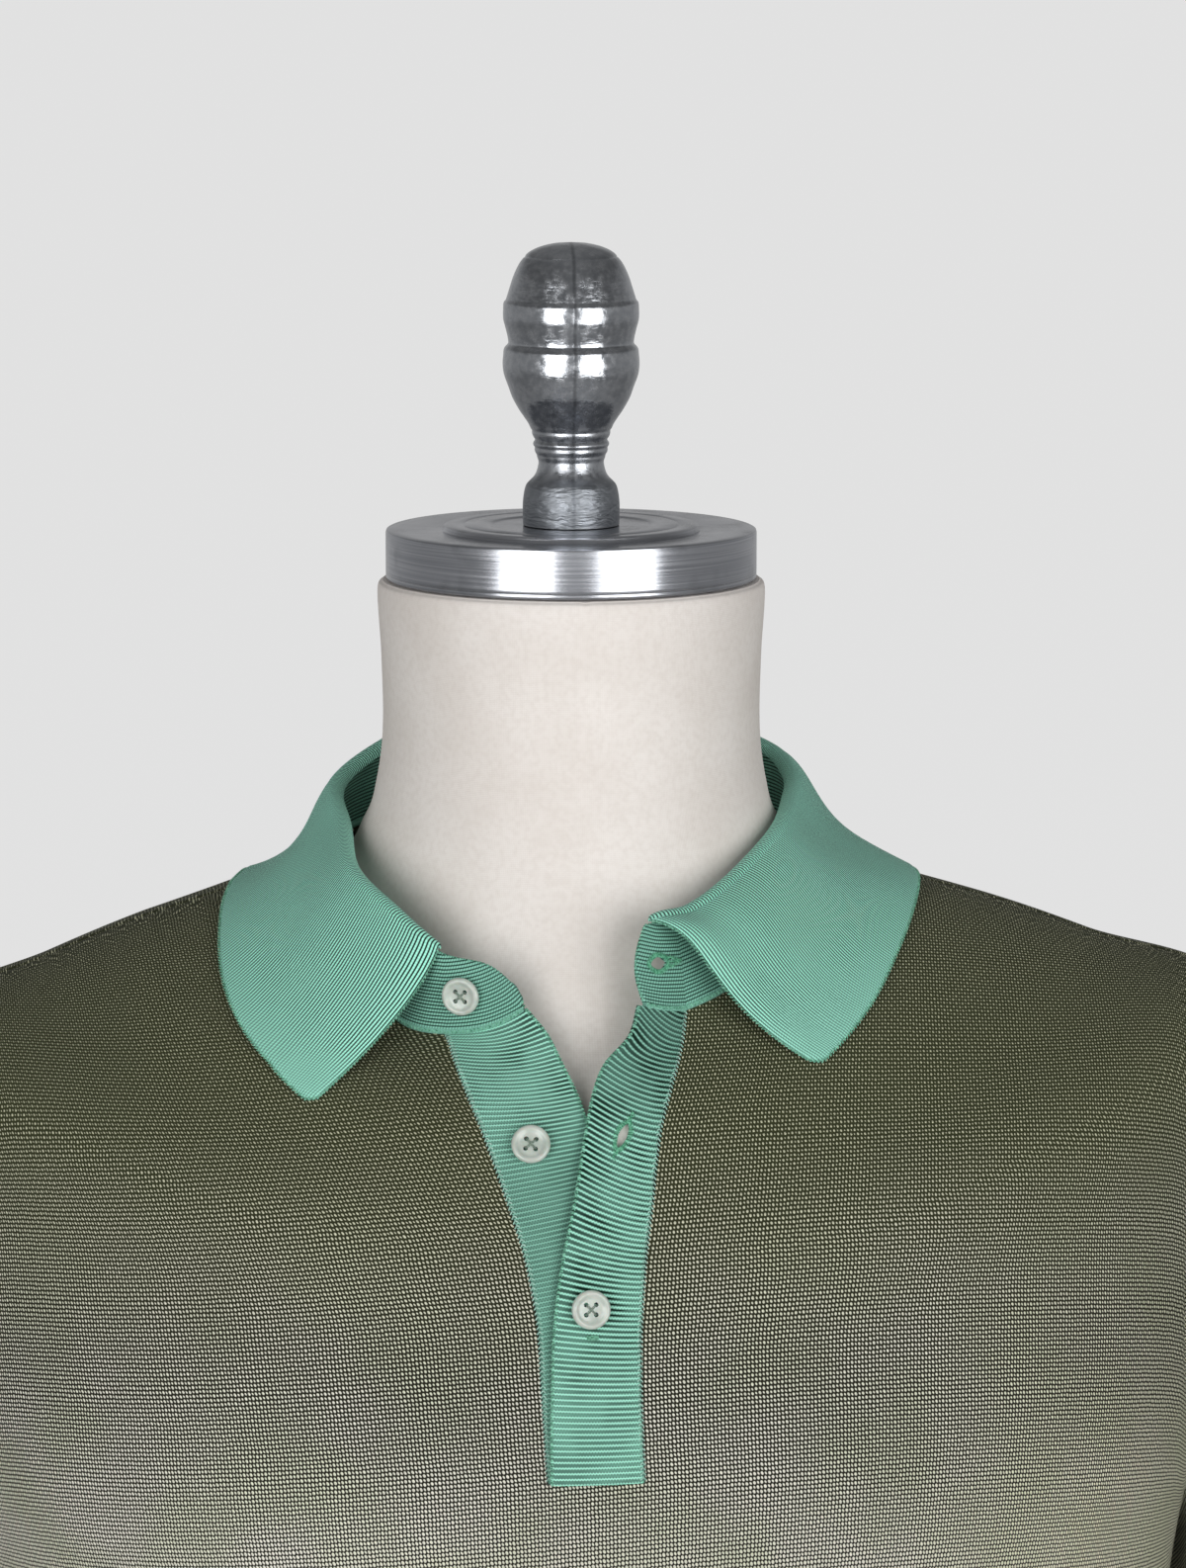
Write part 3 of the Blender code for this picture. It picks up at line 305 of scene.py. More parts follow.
def leafColumn(stations, rollSteps, fallSteps):  # under side, from the stand's top to the edge
    def top(station):
        return np.stack(readTable(standTop, station)[1:4], -1) + (0, 0, .0006)

    s, first, last = leafShape, leafShape["first"], leafShape["last"]
    run, angle, fallOut, fallDown, holdAcross, holdUp = readTable(leafEdge, stations)
    angle, toEnd = np.radians(angle), np.minimum(stations - first, last - stations)
    start = top(stations)
    along = top(np.minimum(stations + .1, last)) - top(np.maximum(stations - .1, first))
    out = unit(np.stack([-along[:, 1], along[:, 0], 0 * along[:, 0]], -1))
    out = np.where((out * start * (1, 1, 0)).sum(-1, keepdims=True) < 0, -out, out)
    rows = []
    inner = np.clip(toEnd / s["rollOver"], 0, 1)    # the roll closes at its two ends
    radius = (s["rollEnd"] + s["rollMore"] * inner * (2 - inner))[:, None]
    for step in range(rollSteps + 1):
        bend = pi * s["rollTurn"] * step / rollSteps
        rows.append(start + radius * (out * (1 - cos(bend)) + np.array((0, 0, sin(bend)))))
    start = rows[-1]
    normal = shirtNormal(run, angle)
    edge = shirtPoint(run, angle) + normal * (clothWall + s["clear"])
    lead = unit(out + unit((edge - start) * (1, 1, 0)))
    handle1 = start + lead * fallOut[:, None] - np.stack([0 * fallDown, 0 * fallDown, fallDown], -1)
    held = np.stack([holdAcross, holdAcross, holdUp], -1)
    handle2 = edge + (start - edge) * held + normal * s["hold"]
    blunt = 1 - s["blunt"] * (1 - np.clip(toEnd / s["bluntOver"], 0, 1)) ** 2
    for step in range(1, fallSteps + 1):
        rows.append(curve(start, handle1, handle2, edge, (step / fallSteps * blunt)[:, None]))
    return np.array(rows)


def gridNormals(points, closed=False):
    down = np.gradient(points, axis=0)
    if closed:
        across = (np.roll(points, -1, axis=1) - np.roll(points, 1, axis=1)) / 2
    else:
        across = np.gradient(points, axis=1)
    return unit(np.cross(down, across))


def outwardNormals(points, row, closed=False):  # away from the form's axis at that row
    normals = gridNormals(points, closed)
    return -normals if (normals[row, :, :2] * points[row, :, :2]).sum() < 0 else normals


def gridQuads(rows, columns, closed=False, keep=None):
    cells = columns if closed else columns - 1
    r, c = np.meshgrid(np.arange(rows - 1), np.arange(cells), indexing="ij")
    if keep is not None:
        r, c = r[keep], c[keep]
    r, c = r.ravel(), c.ravel()

    def corners(wide, far):
        return np.stack([r * wide + c, (r + 1) * wide + c, (r + 1) * wide + far, r * wide + far], -1)

    return corners(columns, (c + 1) % columns), corners(cells + 1, c + 1)


def meshFrom(name, points, faces, corners, material, sharpOver=50):
    points, faces = np.asarray(points, float), [list(map(int, face)) for face in faces]
    mesh = bpy.data.meshes.new(name)
    mesh.from_pydata(points.tolist(), [], faces)
    if corners is not None:
        layer = mesh.uv_layers.new(name="knit")
        layer.data.foreach_set("uv", np.asarray(corners, np.float32).ravel())
    mesh.shade_smooth()
    mesh.set_sharp_from_angle(angle=radians(sharpOver))
    mesh.materials.append(material)
    piece = bpy.data.objects.new(name, mesh)
    bpy.context.scene.collection.objects.link(piece)
    return piece


def thickCloth(name, inner, outer, uv, material, closed=False, keep=None):
    rows, columns = inner.shape[:2]
    quads, uvQuads = gridQuads(rows, columns, closed, keep)
    inner, outer, uv = inner.reshape(-1, 3), outer.reshape(-1, 3), uv.reshape(-1, 2)
    a, b, c = (outer[quads[:, i]] for i in (0, 1, 2))
    facing = (np.cross(b - a, c - a) * (outer - inner)[quads[:, 0]]).sum()
    if facing < 0:
        quads, uvQuads = quads[:, ::-1], uvQuads[:, ::-1]
    count = len(inner)
    edges = {}
    for quad, places in zip(quads.tolist(), uvQuads.tolist()):
        for i in range(4):
            j = (i + 1) % 4
            if (quad[j], quad[i]) in edges:
                del edges[quad[j], quad[i]]
            else:
                edges[quad[i], quad[j]] = (places[i], places[j])
    rims = np.array([(b, a, a + count, b + count) for a, b in edges])
    rimPlaces = np.array([(q, p, p, q) for p, q in edges.values()])
    faces = np.concatenate([quads, (quads + count)[:, ::-1], rims])
    places = np.concatenate([uvQuads, uvQuads[:, ::-1], rimPlaces])
    used, faces = np.unique(faces, return_inverse=True)
    points = np.concatenate([outer, inner])[used]
    return meshFrom(name, points, faces.reshape(-1, 4), uv[places.ravel()], material)


def editWhole(piece, operation, **settings):
    bpy.context.view_layer.objects.active = piece
    piece.select_set(True)
    bpy.ops.object.mode_set(mode="EDIT")
    bpy.ops.mesh.select_all(action="SELECT")
    operation(**settings)
    bpy.ops.object.mode_set(mode="OBJECT")
    piece.select_set(False)


def stitchTemplate(length, width, height, segments=6, rings=4):
    bpy.ops.mesh.primitive_uv_sphere_add(segments=segments, ring_count=rings, radius=.5)
    bead = bpy.context.object
    bpy.ops.object.mode_set(mode="EDIT")
    bpy.ops.mesh.select_all(action="SELECT")
    bpy.ops.transform.rotate(value=pi / 2, orient_axis="Y", center_override=(0, 0, 0))
    bpy.ops.transform.resize(value=(length, width, height), center_override=(0, 0, 0))
    bpy.ops.object.mode_set(mode="OBJECT")
    points = np.array([vert.co for vert in bead.data.vertices])
    faces = [list(face.vertices) for face in bead.data.polygons]
    bpy.data.objects.remove(bead)
    return points, faces


def copiesOf(name, template, places, material):  # one mesh of many placed copies
    points, faces = template
    spots = np.concatenate([points, np.ones((len(points), 1))], 1)
    allPoints = np.concatenate([spots @ np.array(place).T for place in places])[:, :3]
    allFaces = [[corner + copy * len(points) for corner in face]
                for copy in range(len(places)) for face in faces]
    return meshFrom(name, allPoints, allFaces, None, material, 80)


def placeOn(origin, out, along):
    out, along = Vector(out), Vector(along)
    side = out.cross(along).normalized()
    axes = Matrix((side.cross(out), side, out)).transposed()
    return Matrix.Translation(Vector(origin)) @ axes.to_4x4()


def chainPlaces(path, outs, pitch, spread, lean):  # pairs of loops leaning towards each other
    lengths = lengthsAlong(path)
    count = max(2, round(lengths[-1] / pitch))
    marks = (np.arange(count) + .5) * lengths[-1] / count

    def at(rows, shift=0.0):
        return np.stack([np.interp(marks + shift, lengths, rows[:, i]) for i in range(3)], -1)

    places = []
    for spot, way, along in zip(at(path), at(outs), at(path, pitch / 4) - at(path, -pitch / 4)):
        base = placeOn(spot, way, along)
        for hand in (-1, 1):
            shift = Matrix.Translation((0, hand * spread, 0)) @ Matrix.Rotation(hand * lean, 4, "Z")
            places.append(base @ shift)
    return places


def dress(piece, slot, *nodes):
    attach(piece, "root")
    if nodes:
        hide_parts(*nodes)
    return piece


def paint(red, green, blue):  # a colour as a screen shows it, 0 to 255
    shares = [value / 255 for value in (red, green, blue)]
    return tuple(s / 12.92 if s <= .04045 else ((s + .055) / 1.055) ** 2.4 for s in shares)


class Value:  # a node's output, to calculate with
    def __init__(self, nodes, socket):
        self.nodes, self.socket = nodes, socket

    def through(self, operation, *others):
        return self.nodes.math(operation, self, *others)

    def __add__(self, other):
        return self.through("ADD", other)

    def __sub__(self, other):
        return self.through("SUBTRACT", other)

    def __rsub__(self, other):
        return self.nodes.math("SUBTRACT", other, self)

    def __mul__(self, other):
        return self.through("MULTIPLY", other)

    def __truediv__(self, other):
        return self.through("DIVIDE", other)


class Nodes:  # a node tree and short ways to fill it
    def __init__(self, tree):
        self.tree = tree

    def put(self, kind, settings=None, **values):
        node = self.tree.nodes.new("ShaderNode" + kind)
        for key, value in (settings or {}).items():
            setattr(node, key, value)
        for key, value in values.items():
            self.feed(node.inputs[key], value)
        return node

    def feed(self, socket, value):
        if isinstance(value, Value):
            value = value.socket
        if isinstance(value, bpy.types.NodeSocket):
            self.tree.links.new(value, socket)
        else:
            socket.default_value = value

    def math(self, operation, *values):
        node = self.put("Math", {"operation": operation})
        for socket, value in zip(node.inputs, values):
            self.feed(socket, value)
        return Value(self, node.outputs[0])

    def split(self, vector):
        return [Value(self, output) for output in self.put("SeparateXYZ", Vector=vector).outputs]

    def join(self, x, y, z):
        return self.put("CombineXYZ", X=x, Y=y, Z=z).outputs[0]

    def blend(self, share, first, second):
        node = self.put("Mix", {"data_type": "RGBA"})
        self.feed(node.inputs[0], share)
        for socket, color in ((node.inputs[6], first), (node.inputs[7], second)):
            self.feed(socket, (*color, 1) if isinstance(color, tuple) else color)
        return node.outputs[2]

    def ramp(self, value, low, high, start=0.0, end=1.0, smooth=True):
        kind = "SMOOTHSTEP" if smooth else "LINEAR"
        node = self.put("MapRange", {"interpolation_type": kind, "clamp": True})
        for socket, entry in zip(node.inputs, (value, low, high, start, end)):
            self.feed(socket, entry)
        return Value(self, node.outputs[0])

    def noise(self, vector, scale, detail=2.0):
        node = self.put("TexNoise", Scale=scale, Detail=detail, Vector=vector)
        return Value(self, node.outputs["Fac"])


class Surface(Nodes):  # a material
    def __init__(self, name, look):
        self.material = bpy.data.materials.new(name)
        self.material.use_nodes = True
        super().__init__(self.material.node_tree)
        self.shader = self.tree.nodes["Principled BSDF"]
        for key, value in look.items():
            self.shader.inputs[key].default_value = value

    def objectPlace(self):
        return self.put("TexCoord").outputs["Object"]

    def clothPlace(self):  # in metres along the cloth
        return self.put("UVMap", {"uv_map": "knit"}).outputs[0]

    def bump(self, height, strength, distance):
        node = self.put("Bump", Strength=strength, Distance=distance, Height=height)
        self.feed(self.shader.inputs["Normal"], node.outputs[0])

    def finish(self, color):
        self.feed(self.shader.inputs["Base Color"], color)
        return self.material


bodyKnit = {
    "wale": .00108, "course": .00138,       # width and height of a stitch
    # the shoulder ground and the olive flecks are colours of the painted shade on the shoulders
    "ground": paint(38, 38, 27), "shoulder": paint(56, 60, 36),
    "fleck": paint(255, 252, 238), "warmFleck": paint(244, 246, 222),
    "oliveFleck": paint(244, 244, 208),
    "paintedShadeShrink": [(.56, .645, -.15, .60), (.65, .73, 0.0, .68)],  # flecks get smaller with height, painted shade on the shoulders
    "look": {"Roughness": .85, "Sheen Weight": .04, "Sheen Roughness": .5, "Specular IOR Level": .15},
}


def makeBodyKnit():
    m = Surface("olive bird's-eye knit", bodyKnit["look"])
    place = m.clothPlace()
    along, up = m.split(place)[:2]
    a = along / bodyKnit["wale"] + m.noise(place, 190, 1) * .5
    b = up / bodyKnit["course"] + m.noise(place, 240, 1) * .4

    def wave(phase, turns):
        return (phase * (turns * pi)).through("COSINE")

    stitch = wave(a, 2) + wave(b, 2) * .95 + wave(a + b, 2) * .65 + wave(a, 1) * wave(b, 1) * .78
    x, _, height = m.split(m.objectPlace())
    # painted shade: with height the flecks shrink and fade and the ground turns to the shoulder colour,
    # so the shoulders read darker olive
    lower, upper = (m.ramp(height, *step) for step in bodyKnit["paintedShadeShrink"])
    fleck = m.ramp(stitch - (lower + upper), -.85, .75)
    shoulderShade = m.ramp(height, .62, .735, 1.0, .72)
    patch = m.ramp(m.noise(place, 9, 3), .3, .7, .88, 1.0)
    yarn = m.ramp(m.noise(place, 700, 1), .25, .75, .80, 1.0)
    high = m.ramp(height, .62, .73)
    ground = m.blend(high, bodyKnit["ground"], bodyKnit["shoulder"])
    warm = m.ramp(m.noise(place, 26, 2), .35, .65)
    tint = m.blend(warm, bodyKnit["fleck"], bodyKnit["warmFleck"])
    # painted shade: the flecks turn olive on the shoulders; the same olive tint also grows towards +x
    olive = high.through("MAXIMUM", m.ramp(x, .06, .16, 0.0, .45))
    tint = m.blend(olive, tint, bodyKnit["oliveFleck"])
    m.bump(stitch, .6, .0002)
    return m.finish(m.blend(fleck * shoulderShade * (patch * yarn), ground, tint))


greenKnit = {
    "wale": .00112, "course": .00090,
    "light": paint(181, 255, 232), "dark": paint(5, 44, 28),
    "look": {"Roughness": .8, "Sheen Weight": .05, "Sheen Roughness": .45, "Specular IOR Level": .12},
}


def makeGreenKnit(name, contrast, stitchShare, shadeGain, calm=None):
    m = Surface(name, greenKnit["look"])
    place = m.clothPlace()
    along, up = m.split(place)[:2]
    a = along / greenKnit["wale"] + m.noise(place, 90, 1) * .35
    b = up / greenKnit["course"] + m.noise(place, 120, 1) * .35
    ridge = m.ramp((a * (2 * pi)).through("COSINE"), -.80, .32)
    loop = m.ramp(((b + a * .5) * (2 * pi)).through("COSINE"), -1.0, 1.0)
    depth = m.ramp(m.noise(place, 24, 2), .30, .58, contrast * .75, contrast)
    if calm:                                # the wales calm down towards the outer edge
        depth = depth * m.ramp(up, *calm, 1.0, .50)
    wale = 1 - (1 - ridge) * depth
    grain = 1 - (1 - loop) * stitchShare
    even = (contrast - depth) * .32         # calm cloth keeps its mean colour
    m.bump(wale * grain, .5, .0003)
    # the last factor scales the knit's brightness; below 1 it is painted shade
    return m.finish(m.blend((wale * grain - even) * shadeGain, greenKnit["dark"], greenKnit["light"]))


ribKnit = {
    "stitch": .00092,                       # along a rib
    "light": paint(182, 255, 230), "groove": paint(5, 34, 22),
    "look": {"Roughness": .78, "Sheen Weight": .05, "Sheen Roughness": .45, "Specular IOR Level": .12},
}


def makeRibKnit(name, pitch, depth, wide, calm, shadeGains):
    m = Surface(name, ribKnit["look"])
    place = m.clothPlace()
    across, down = m.split(place)[:2]       # across the band from its seam, and along it
    spread = m.ramp(across, .002, .025, smooth=False)
    a = across / ribKnit["stitch"]
    along = down / pitch
    away = (along.through("FRACT") - .5).through("ABSOLUTE")    # 0 on the crest, half in the groove
    dense = m.ramp(down, .020, .055, .07, 0.0)
    groove = m.ramp(away + dense + spread * wide, .27, .42)
    course = ((along - .5) * (4 * pi)).through("COSINE")
    between = m.ramp(course, -1.0, .4, .50, 0.0)                # between the two courses of a rib
    half = (along * 2.0).through("FLOOR") * .5
    dots = m.ramp(((a + half) * (2 * pi)).through("COSINE"), -1.0, 1.0, .34, 0.0)
    calmer = m.ramp(down, calm[0], calm[1], 1.0, calm[2])
    side = m.ramp(across, .004, .020, calm[3], 1.0)
    rough = m.ramp(m.noise(place, 60, 2), .3, .65, .75, 1.0)
    dark = (groove * (calmer * side * (rough * depth))).through("MAXIMUM", between + dots)
    shadeGain = m.ramp(down, *shadeGains)             # painted shade: darker towards one end, the buttonhole band at its top and the button band below its top
    m.bump(1 - dark, .4, .0002)
    return m.finish(m.blend((1 - dark) * shadeGain, ribKnit["groove"], ribKnit["light"]))


def makeYarn(name, light, dark):
    m = Surface(name, {"Roughness": .75, "Sheen Weight": .2})
    place = m.objectPlace()
    m.bump(m.noise(place, 5000, 2), .4, .0001)
    return m.finish(m.blend(m.ramp(m.noise(place, 1800, 2), .3, .7), light, dark))


canvasCloth = {
    "thread": .00058, "around": .0615,      # spacing of the threads, and the radius they are counted at
    "light": paint(241, 235, 230), "dark": paint(233, 226, 220),
    "slub": paint(208, 197, 188), "gap": paint(198, 187, 176),
}


def makeCanvas():
    m = Surface("cream canvas", {"Roughness": .9, "Specular IOR Level": .2})
    place = m.objectPlace()
    x, y, z = m.split(place)
    turn = x.through("ARCTAN2", y * -1.0) * canvasCloth["around"]
    warp, weft = ((way * (pi / canvasCloth["thread"])).through("SINE").through("ABSOLUTE")
                  for way in (turn, z))
    weave = (warp + weft) * .5
    fine = m.noise(place, 520, 3)
    color = m.blend(m.ramp(m.noise(place, 34, 4), .30, .70), canvasCloth["light"], canvasCloth["dark"])
    color = m.blend(m.ramp(fine, .35, .75) * .22, color, canvasCloth["slub"])
    color = m.blend((1 - weave) * .16, color, canvasCloth["gap"])
    m.bump(weave * .5 + fine * .5, .35, .0002)
    return m.finish(color)


steel = {"light": paint(212, 214, 220), "dark": paint(178, 181, 188), "worn": paint(120, 124, 128)}


def makeBrushed():
    m = Surface("brushed steel", {"Metallic": 1.0})
    place = m.objectPlace()
    x, y, z = m.split(place)
    radius = (x.through("POWER", 2.0) + y.through("POWER", 2.0)).through("SQRT")
    brush = m.noise(m.join(x * 14.0, y * 14.0, (radius + z) * 2600.0), 1.0, 3)
    wear = m.noise(place, 70, 4)
    color = m.blend(m.ramp(brush, .25, .75), steel["dark"], steel["light"])
    color = m.blend(m.ramp(wear, .52, .72) * .35, color, steel["worn"])
    m.feed(m.shader.inputs["Roughness"], m.ramp(brush * .6 + wear * .4, .3, .7, .16, .28))
    m.bump(brush, .25, .00012)
    return m.finish(color)


castMetal = {
    "foot": .8950,                          # the height at which its rough foot ends
    "light": paint(206, 209, 214), "dark": paint(186, 190, 196),
    "seam": paint(90, 94, 98), "footColor": paint(136, 141, 147),
}


def makeCast():
    m = Surface("polished cast metal", {"Metallic": 1.0})
    place, footTop = m.objectPlace(), castMetal["foot"]
    x, y, z = m.split(place)
    settings = {"feature": "SMOOTH_F1"}
    dents = m.put("TexVoronoi", settings, Scale=190.0, Smoothness=.7, Vector=place).outputs["Distance"]
    dents, fine = Value(m, dents), m.noise(place, 420, 3)
    seam = m.ramp((x + m.noise(place, 90, 2) * .0006).through("ABSOLUTE"), .0001, .0009, 1.0, 0.0)
    foot = m.ramp(z, footTop, footTop + .004, 1.0, 0.0)
    neck = m.ramp(z, footTop + .014, footTop + .024, 1.0, 0.0)
    color = m.blend(m.ramp(fine, .3, .7), castMetal["dark"], castMetal["light"])
    color = m.blend(seam * .45, color, castMetal["seam"])
    color = m.blend(foot * .65, color, castMetal["footColor"])
    rough = m.ramp(fine, .3, .75, .12, .30) + foot * .16 + neck * .10
    m.feed(m.shader.inputs["Roughness"], rough)
    streaks = m.join(x * 260.0, y * 260.0, z * 1100.0 + m.noise(place, 160, 1) * 3.0)
    streaked = m.noise(streaks, 1.0, 3) * (foot * .88 + .12) * 3.6
    m.bump(dents * .6 + fine * .5 + streaked - seam * .25, .30, .0006)
    return m.finish(color)


shellLook = {"Roughness": .22, "Coat Weight": .4, "Coat Roughness": .1,
             "Subsurface Weight": .15, "Subsurface Scale": .002}


def makeShell():
    m = Surface("white shell", shellLook)
    cloud = m.noise(m.objectPlace(), 260, 3)
    return m.finish(m.blend(m.ramp(cloud, .35, .70), paint(198, 206, 197), paint(178, 188, 178)))


print("materials")
oliveKnit = makeBodyKnit()
leafKnit = makeGreenKnit("green collar knit", 1.0, .18, 1.02, (-.042, -.066))
# painted shade: the stand and its neck roll take a darker copy of the collar knit (.68 against the
# leaf's 1.02)
shadedStandKnit = makeGreenKnit("green stand knit in painted shade", .95, .45, .68)
# painted shade: the last four numbers of each rib darken the buttonhole band's top and the button band
# below its top
overRib = makeRibKnit("green rib, buttonhole band", .00172, 1.0, .14,
                      (.095, .140, .78, 1.0), (.010, .050, .60, .95))
underRib = makeRibKnit("green rib, button band", .00146, .95, .06,
                       (.024, .050, .82, .90), (.022, .060, 1.05, .60))
greenYarn = makeYarn("green linking yarn", paint(150, 220, 190), paint(50, 124, 94))
paleYarn = makeYarn("pale linking yarn", paint(186, 222, 208), paint(128, 178, 160))
satinYarn = makeYarn("green buttonhole yarn", paint(126, 206, 168), paint(44, 132, 98))
buttonYarn = makeYarn("grey-green thread", paint(150, 164, 150), paint(104, 126, 112))
canvas = makeCanvas()
brushedSteel = makeBrushed()
polishedCast = makeCast()
shell = makeShell()

form = {"columns": 176, "seamDepth": .00045, "seamWidth": .0009}


def makeTorso():
    angles = pi + 2 * pi * np.arange(form["columns"]) / form["columns"]
    runs = np.concatenate([np.linspace(0, 6, 80, endpoint=False),
                           np.linspace(6, 12, 40, endpoint=False), np.linspace(12, 19, 70)])
    points = sunk(ringPoint(readTable(formRings, runs[:, None]), angles[None, :]))
    normals = outwardNormals(points, 60, closed=True)
    radius = np.hypot(points[..., 0], points[..., 1])
    groove = np.zeros(points.shape[:2])
    for seam in (0, pi):
        gap = np.abs(np.angle(np.exp(1j * (angles - seam))))[None, :] * radius
        groove += np.exp(-(gap / form["seamWidth"]) ** 2)
    points = points - normals * (groove * form["seamDepth"])[..., None]
    quads = gridQuads(*points.shape[:2], closed=True)[0]
    flat = points.reshape(-1, 3)
    a, b, c = (flat[quads[:, i]] for i in (0, 1, 2))
    if (np.cross(b - a, c - a) * normals.reshape(-1, 3)[quads[:, 0]]).sum() < 0:
        quads = quads[:, ::-1]
    columns, last = form["columns"], (len(runs) - 1) * form["columns"]
    caps = [list(range(columns)), [last + i for i in range(columns)]]
    faces = [list(quad) for quad in quads] + caps
    piece = meshFrom("form cover", flat, faces, None, canvas)
    editWhole(piece, bpy.ops.mesh.normals_make_consistent, inside=False)
    piece.name = "formCover"
    return dress(piece, "canvas", "form_torso")


def turnedPiece(name, rows, segments, material):  # drawn up from a disc, ring after ring
    radius, height = rows[0]
    bpy.ops.mesh.primitive_circle_add(vertices=segments, radius=radius, fill_type="NGON",
                                      location=(0, 0, height))
    piece = bpy.context.object
    bpy.ops.object.transform_apply(location=True, rotation=False, scale=False)
    bpy.ops.object.mode_set(mode="EDIT")
    bpy.ops.mesh.select_all(action="SELECT")
    for nextRadius, nextHeight in rows[1:]:
        climb = {"value": (0, 0, nextHeight - height)}
        bpy.ops.mesh.extrude_region_move(TRANSFORM_OT_translate=climb)
        if abs(nextRadius - radius) > 1e-9:
            scale = nextRadius / radius
            bpy.ops.transform.resize(value=(scale, scale, 1), center_override=(0, 0, nextHeight))
        radius, height = nextRadius, nextHeight
    bpy.ops.mesh.select_all(action="SELECT")
    bpy.ops.mesh.normals_make_consistent(inside=False)
    bpy.ops.object.mode_set(mode="OBJECT")
    piece.name = piece.data.name = name
    piece.data.shade_smooth()
    piece.data.set_sharp_from_angle(angle=radians(35))
    piece.data.materials.append(material)
    piece.select_set(False)
    return piece


cap = {"base": .8653, "radius": .0590, "height": .0157, "edge": .0007,
       "raised": .69, "rise": .0015, "recess": .43, "depth": .0004}


def makeCap():
    base, top, radius, edge = cap["base"], cap["base"] + cap["height"], cap["radius"], cap["edge"]
    raised, recess = cap["raised"] * radius, cap["recess"] * radius
    rise, seat = cap["rise"], top + cap["rise"] - cap["depth"]
    rows = [
        (radius - edge, base), (radius - edge * .3, base + edge * .3), (radius, base + edge),
        (radius, base + .0016), (radius - .00010, base + .0018), (radius, base + .0020),
        (radius, base + .0030), (radius, top - edge * 2.4), (radius, top - edge * 1.4),
        (radius - edge * .3, top - edge * .35), (radius - edge, top),
        (radius - .0040, top + .00005), (radius - .0060, top), (raised + .0012, top),
        (raised + .0003, top - .0002), (raised, top + .0002), (raised - .0003, top + rise * .75),
        (raised - .0011, top + rise), (raised - .0060, top + rise),
        (raised - .0064, top + rise - .0002), (raised - .0068, top + rise),
        (recess + .0020, top + rise), (recess + .0006, top + rise - .0001),
        (recess, seat), (recess - .0010, seat), (.0170, seat), (.0002, seat),
    ]
    dress(turnedPiece("neckCap", rows, 160, brushedSteel), "cap_metal", "form_cap")


finial = {
    "seat": .8824, "steps": 230, "crown": .0848, "crownRadius": .0146, "grooveWidth": .00055,
    "grooves": [(.0222, .00025), (.0246, .00035), (.0270, .00035), (.0300, .00030)],
}


def makeFinial():
    rows = np.array(finialRows)
    heights = np.linspace(0, rows[-1, 0], finial["steps"])
    radii = np.maximum(readTable(finialRows, heights)[0], .0002)
    crown = finial["crown"]
    share = np.clip((heights - crown) / (rows[-1, 0] - crown), 0, 1)
    rounded = finial["crownRadius"] * np.sqrt(np.clip(1 - share**1.6, 0, 1))
    radii = np.where(heights > crown, rounded, radii)
    for height, depth in finial["grooves"]:
        radii -= depth * np.exp(-((heights - height) / finial["grooveWidth"]) ** 2)
    radii = np.maximum(radii, .0002)
    piece = turnedPiece("finialCast", list(zip(radii, heights + finial["seat"])), 96, polishedCast)
    dress(piece, "finial_metal", "form_finial")


print("dress form")
formCover = makeTorso()
makeCap()
makeFinial()

panel = {"sideColumns": 66, "middleColumns": 14, "backColumns": 120, "edgeRound": .0011}


def panelHalf(run, face):
    edge = np.radians(readTable(armholeEdge, run)[0 if face == "front" else 1])
    return np.where((run > 3) & (run < 7), edge, pi / 2)


def edgeShares(count):  # closer together at both ends
    plain = np.linspace(0, 1, count - 4)
    return np.sort(np.concatenate([plain, [.0012, .004, .996, .9988]]))


def panelRuns():
    parts = [np.linspace(0, 3, 56), np.linspace(3, 5, 34)[1:],
             np.linspace(5, 7, 34)[1:], np.linspace(7, 12, 62)[1:]]
    ends = np.array([.012, .04, 3.012, 11.985, 11.995])
    return np.sort(np.concatenate(parts + [ends]))


def sliceLengths(runs, xs, back=False):  # cloth length up a vertical slice, from the underarm
    across = angleAt(runs[:, None], xs[None, :])
    points = shirtPoint(runs[:, None], (pi - across) if back else across)
    steps = np.hypot(*(np.diff(points, axis=0)[..., i] for i in (1, 2)))
    total = np.concatenate([np.zeros((1, len(xs))), np.cumsum(steps, axis=0)])
    underarm = np.array([np.interp(7, runs, total[:, i]) for i in range(len(xs))])
    return underarm[None, :] - total


lay = {  # the front's knit leans with the slit, less far from it, and its courses bow
    "slit": .02, "leftMore": 9, "leftMost": 1.1, "rightLess": 4, "rightLeast": .3,
    "pullOver": .035, "bow": (.085, -.45, -1.5),
}


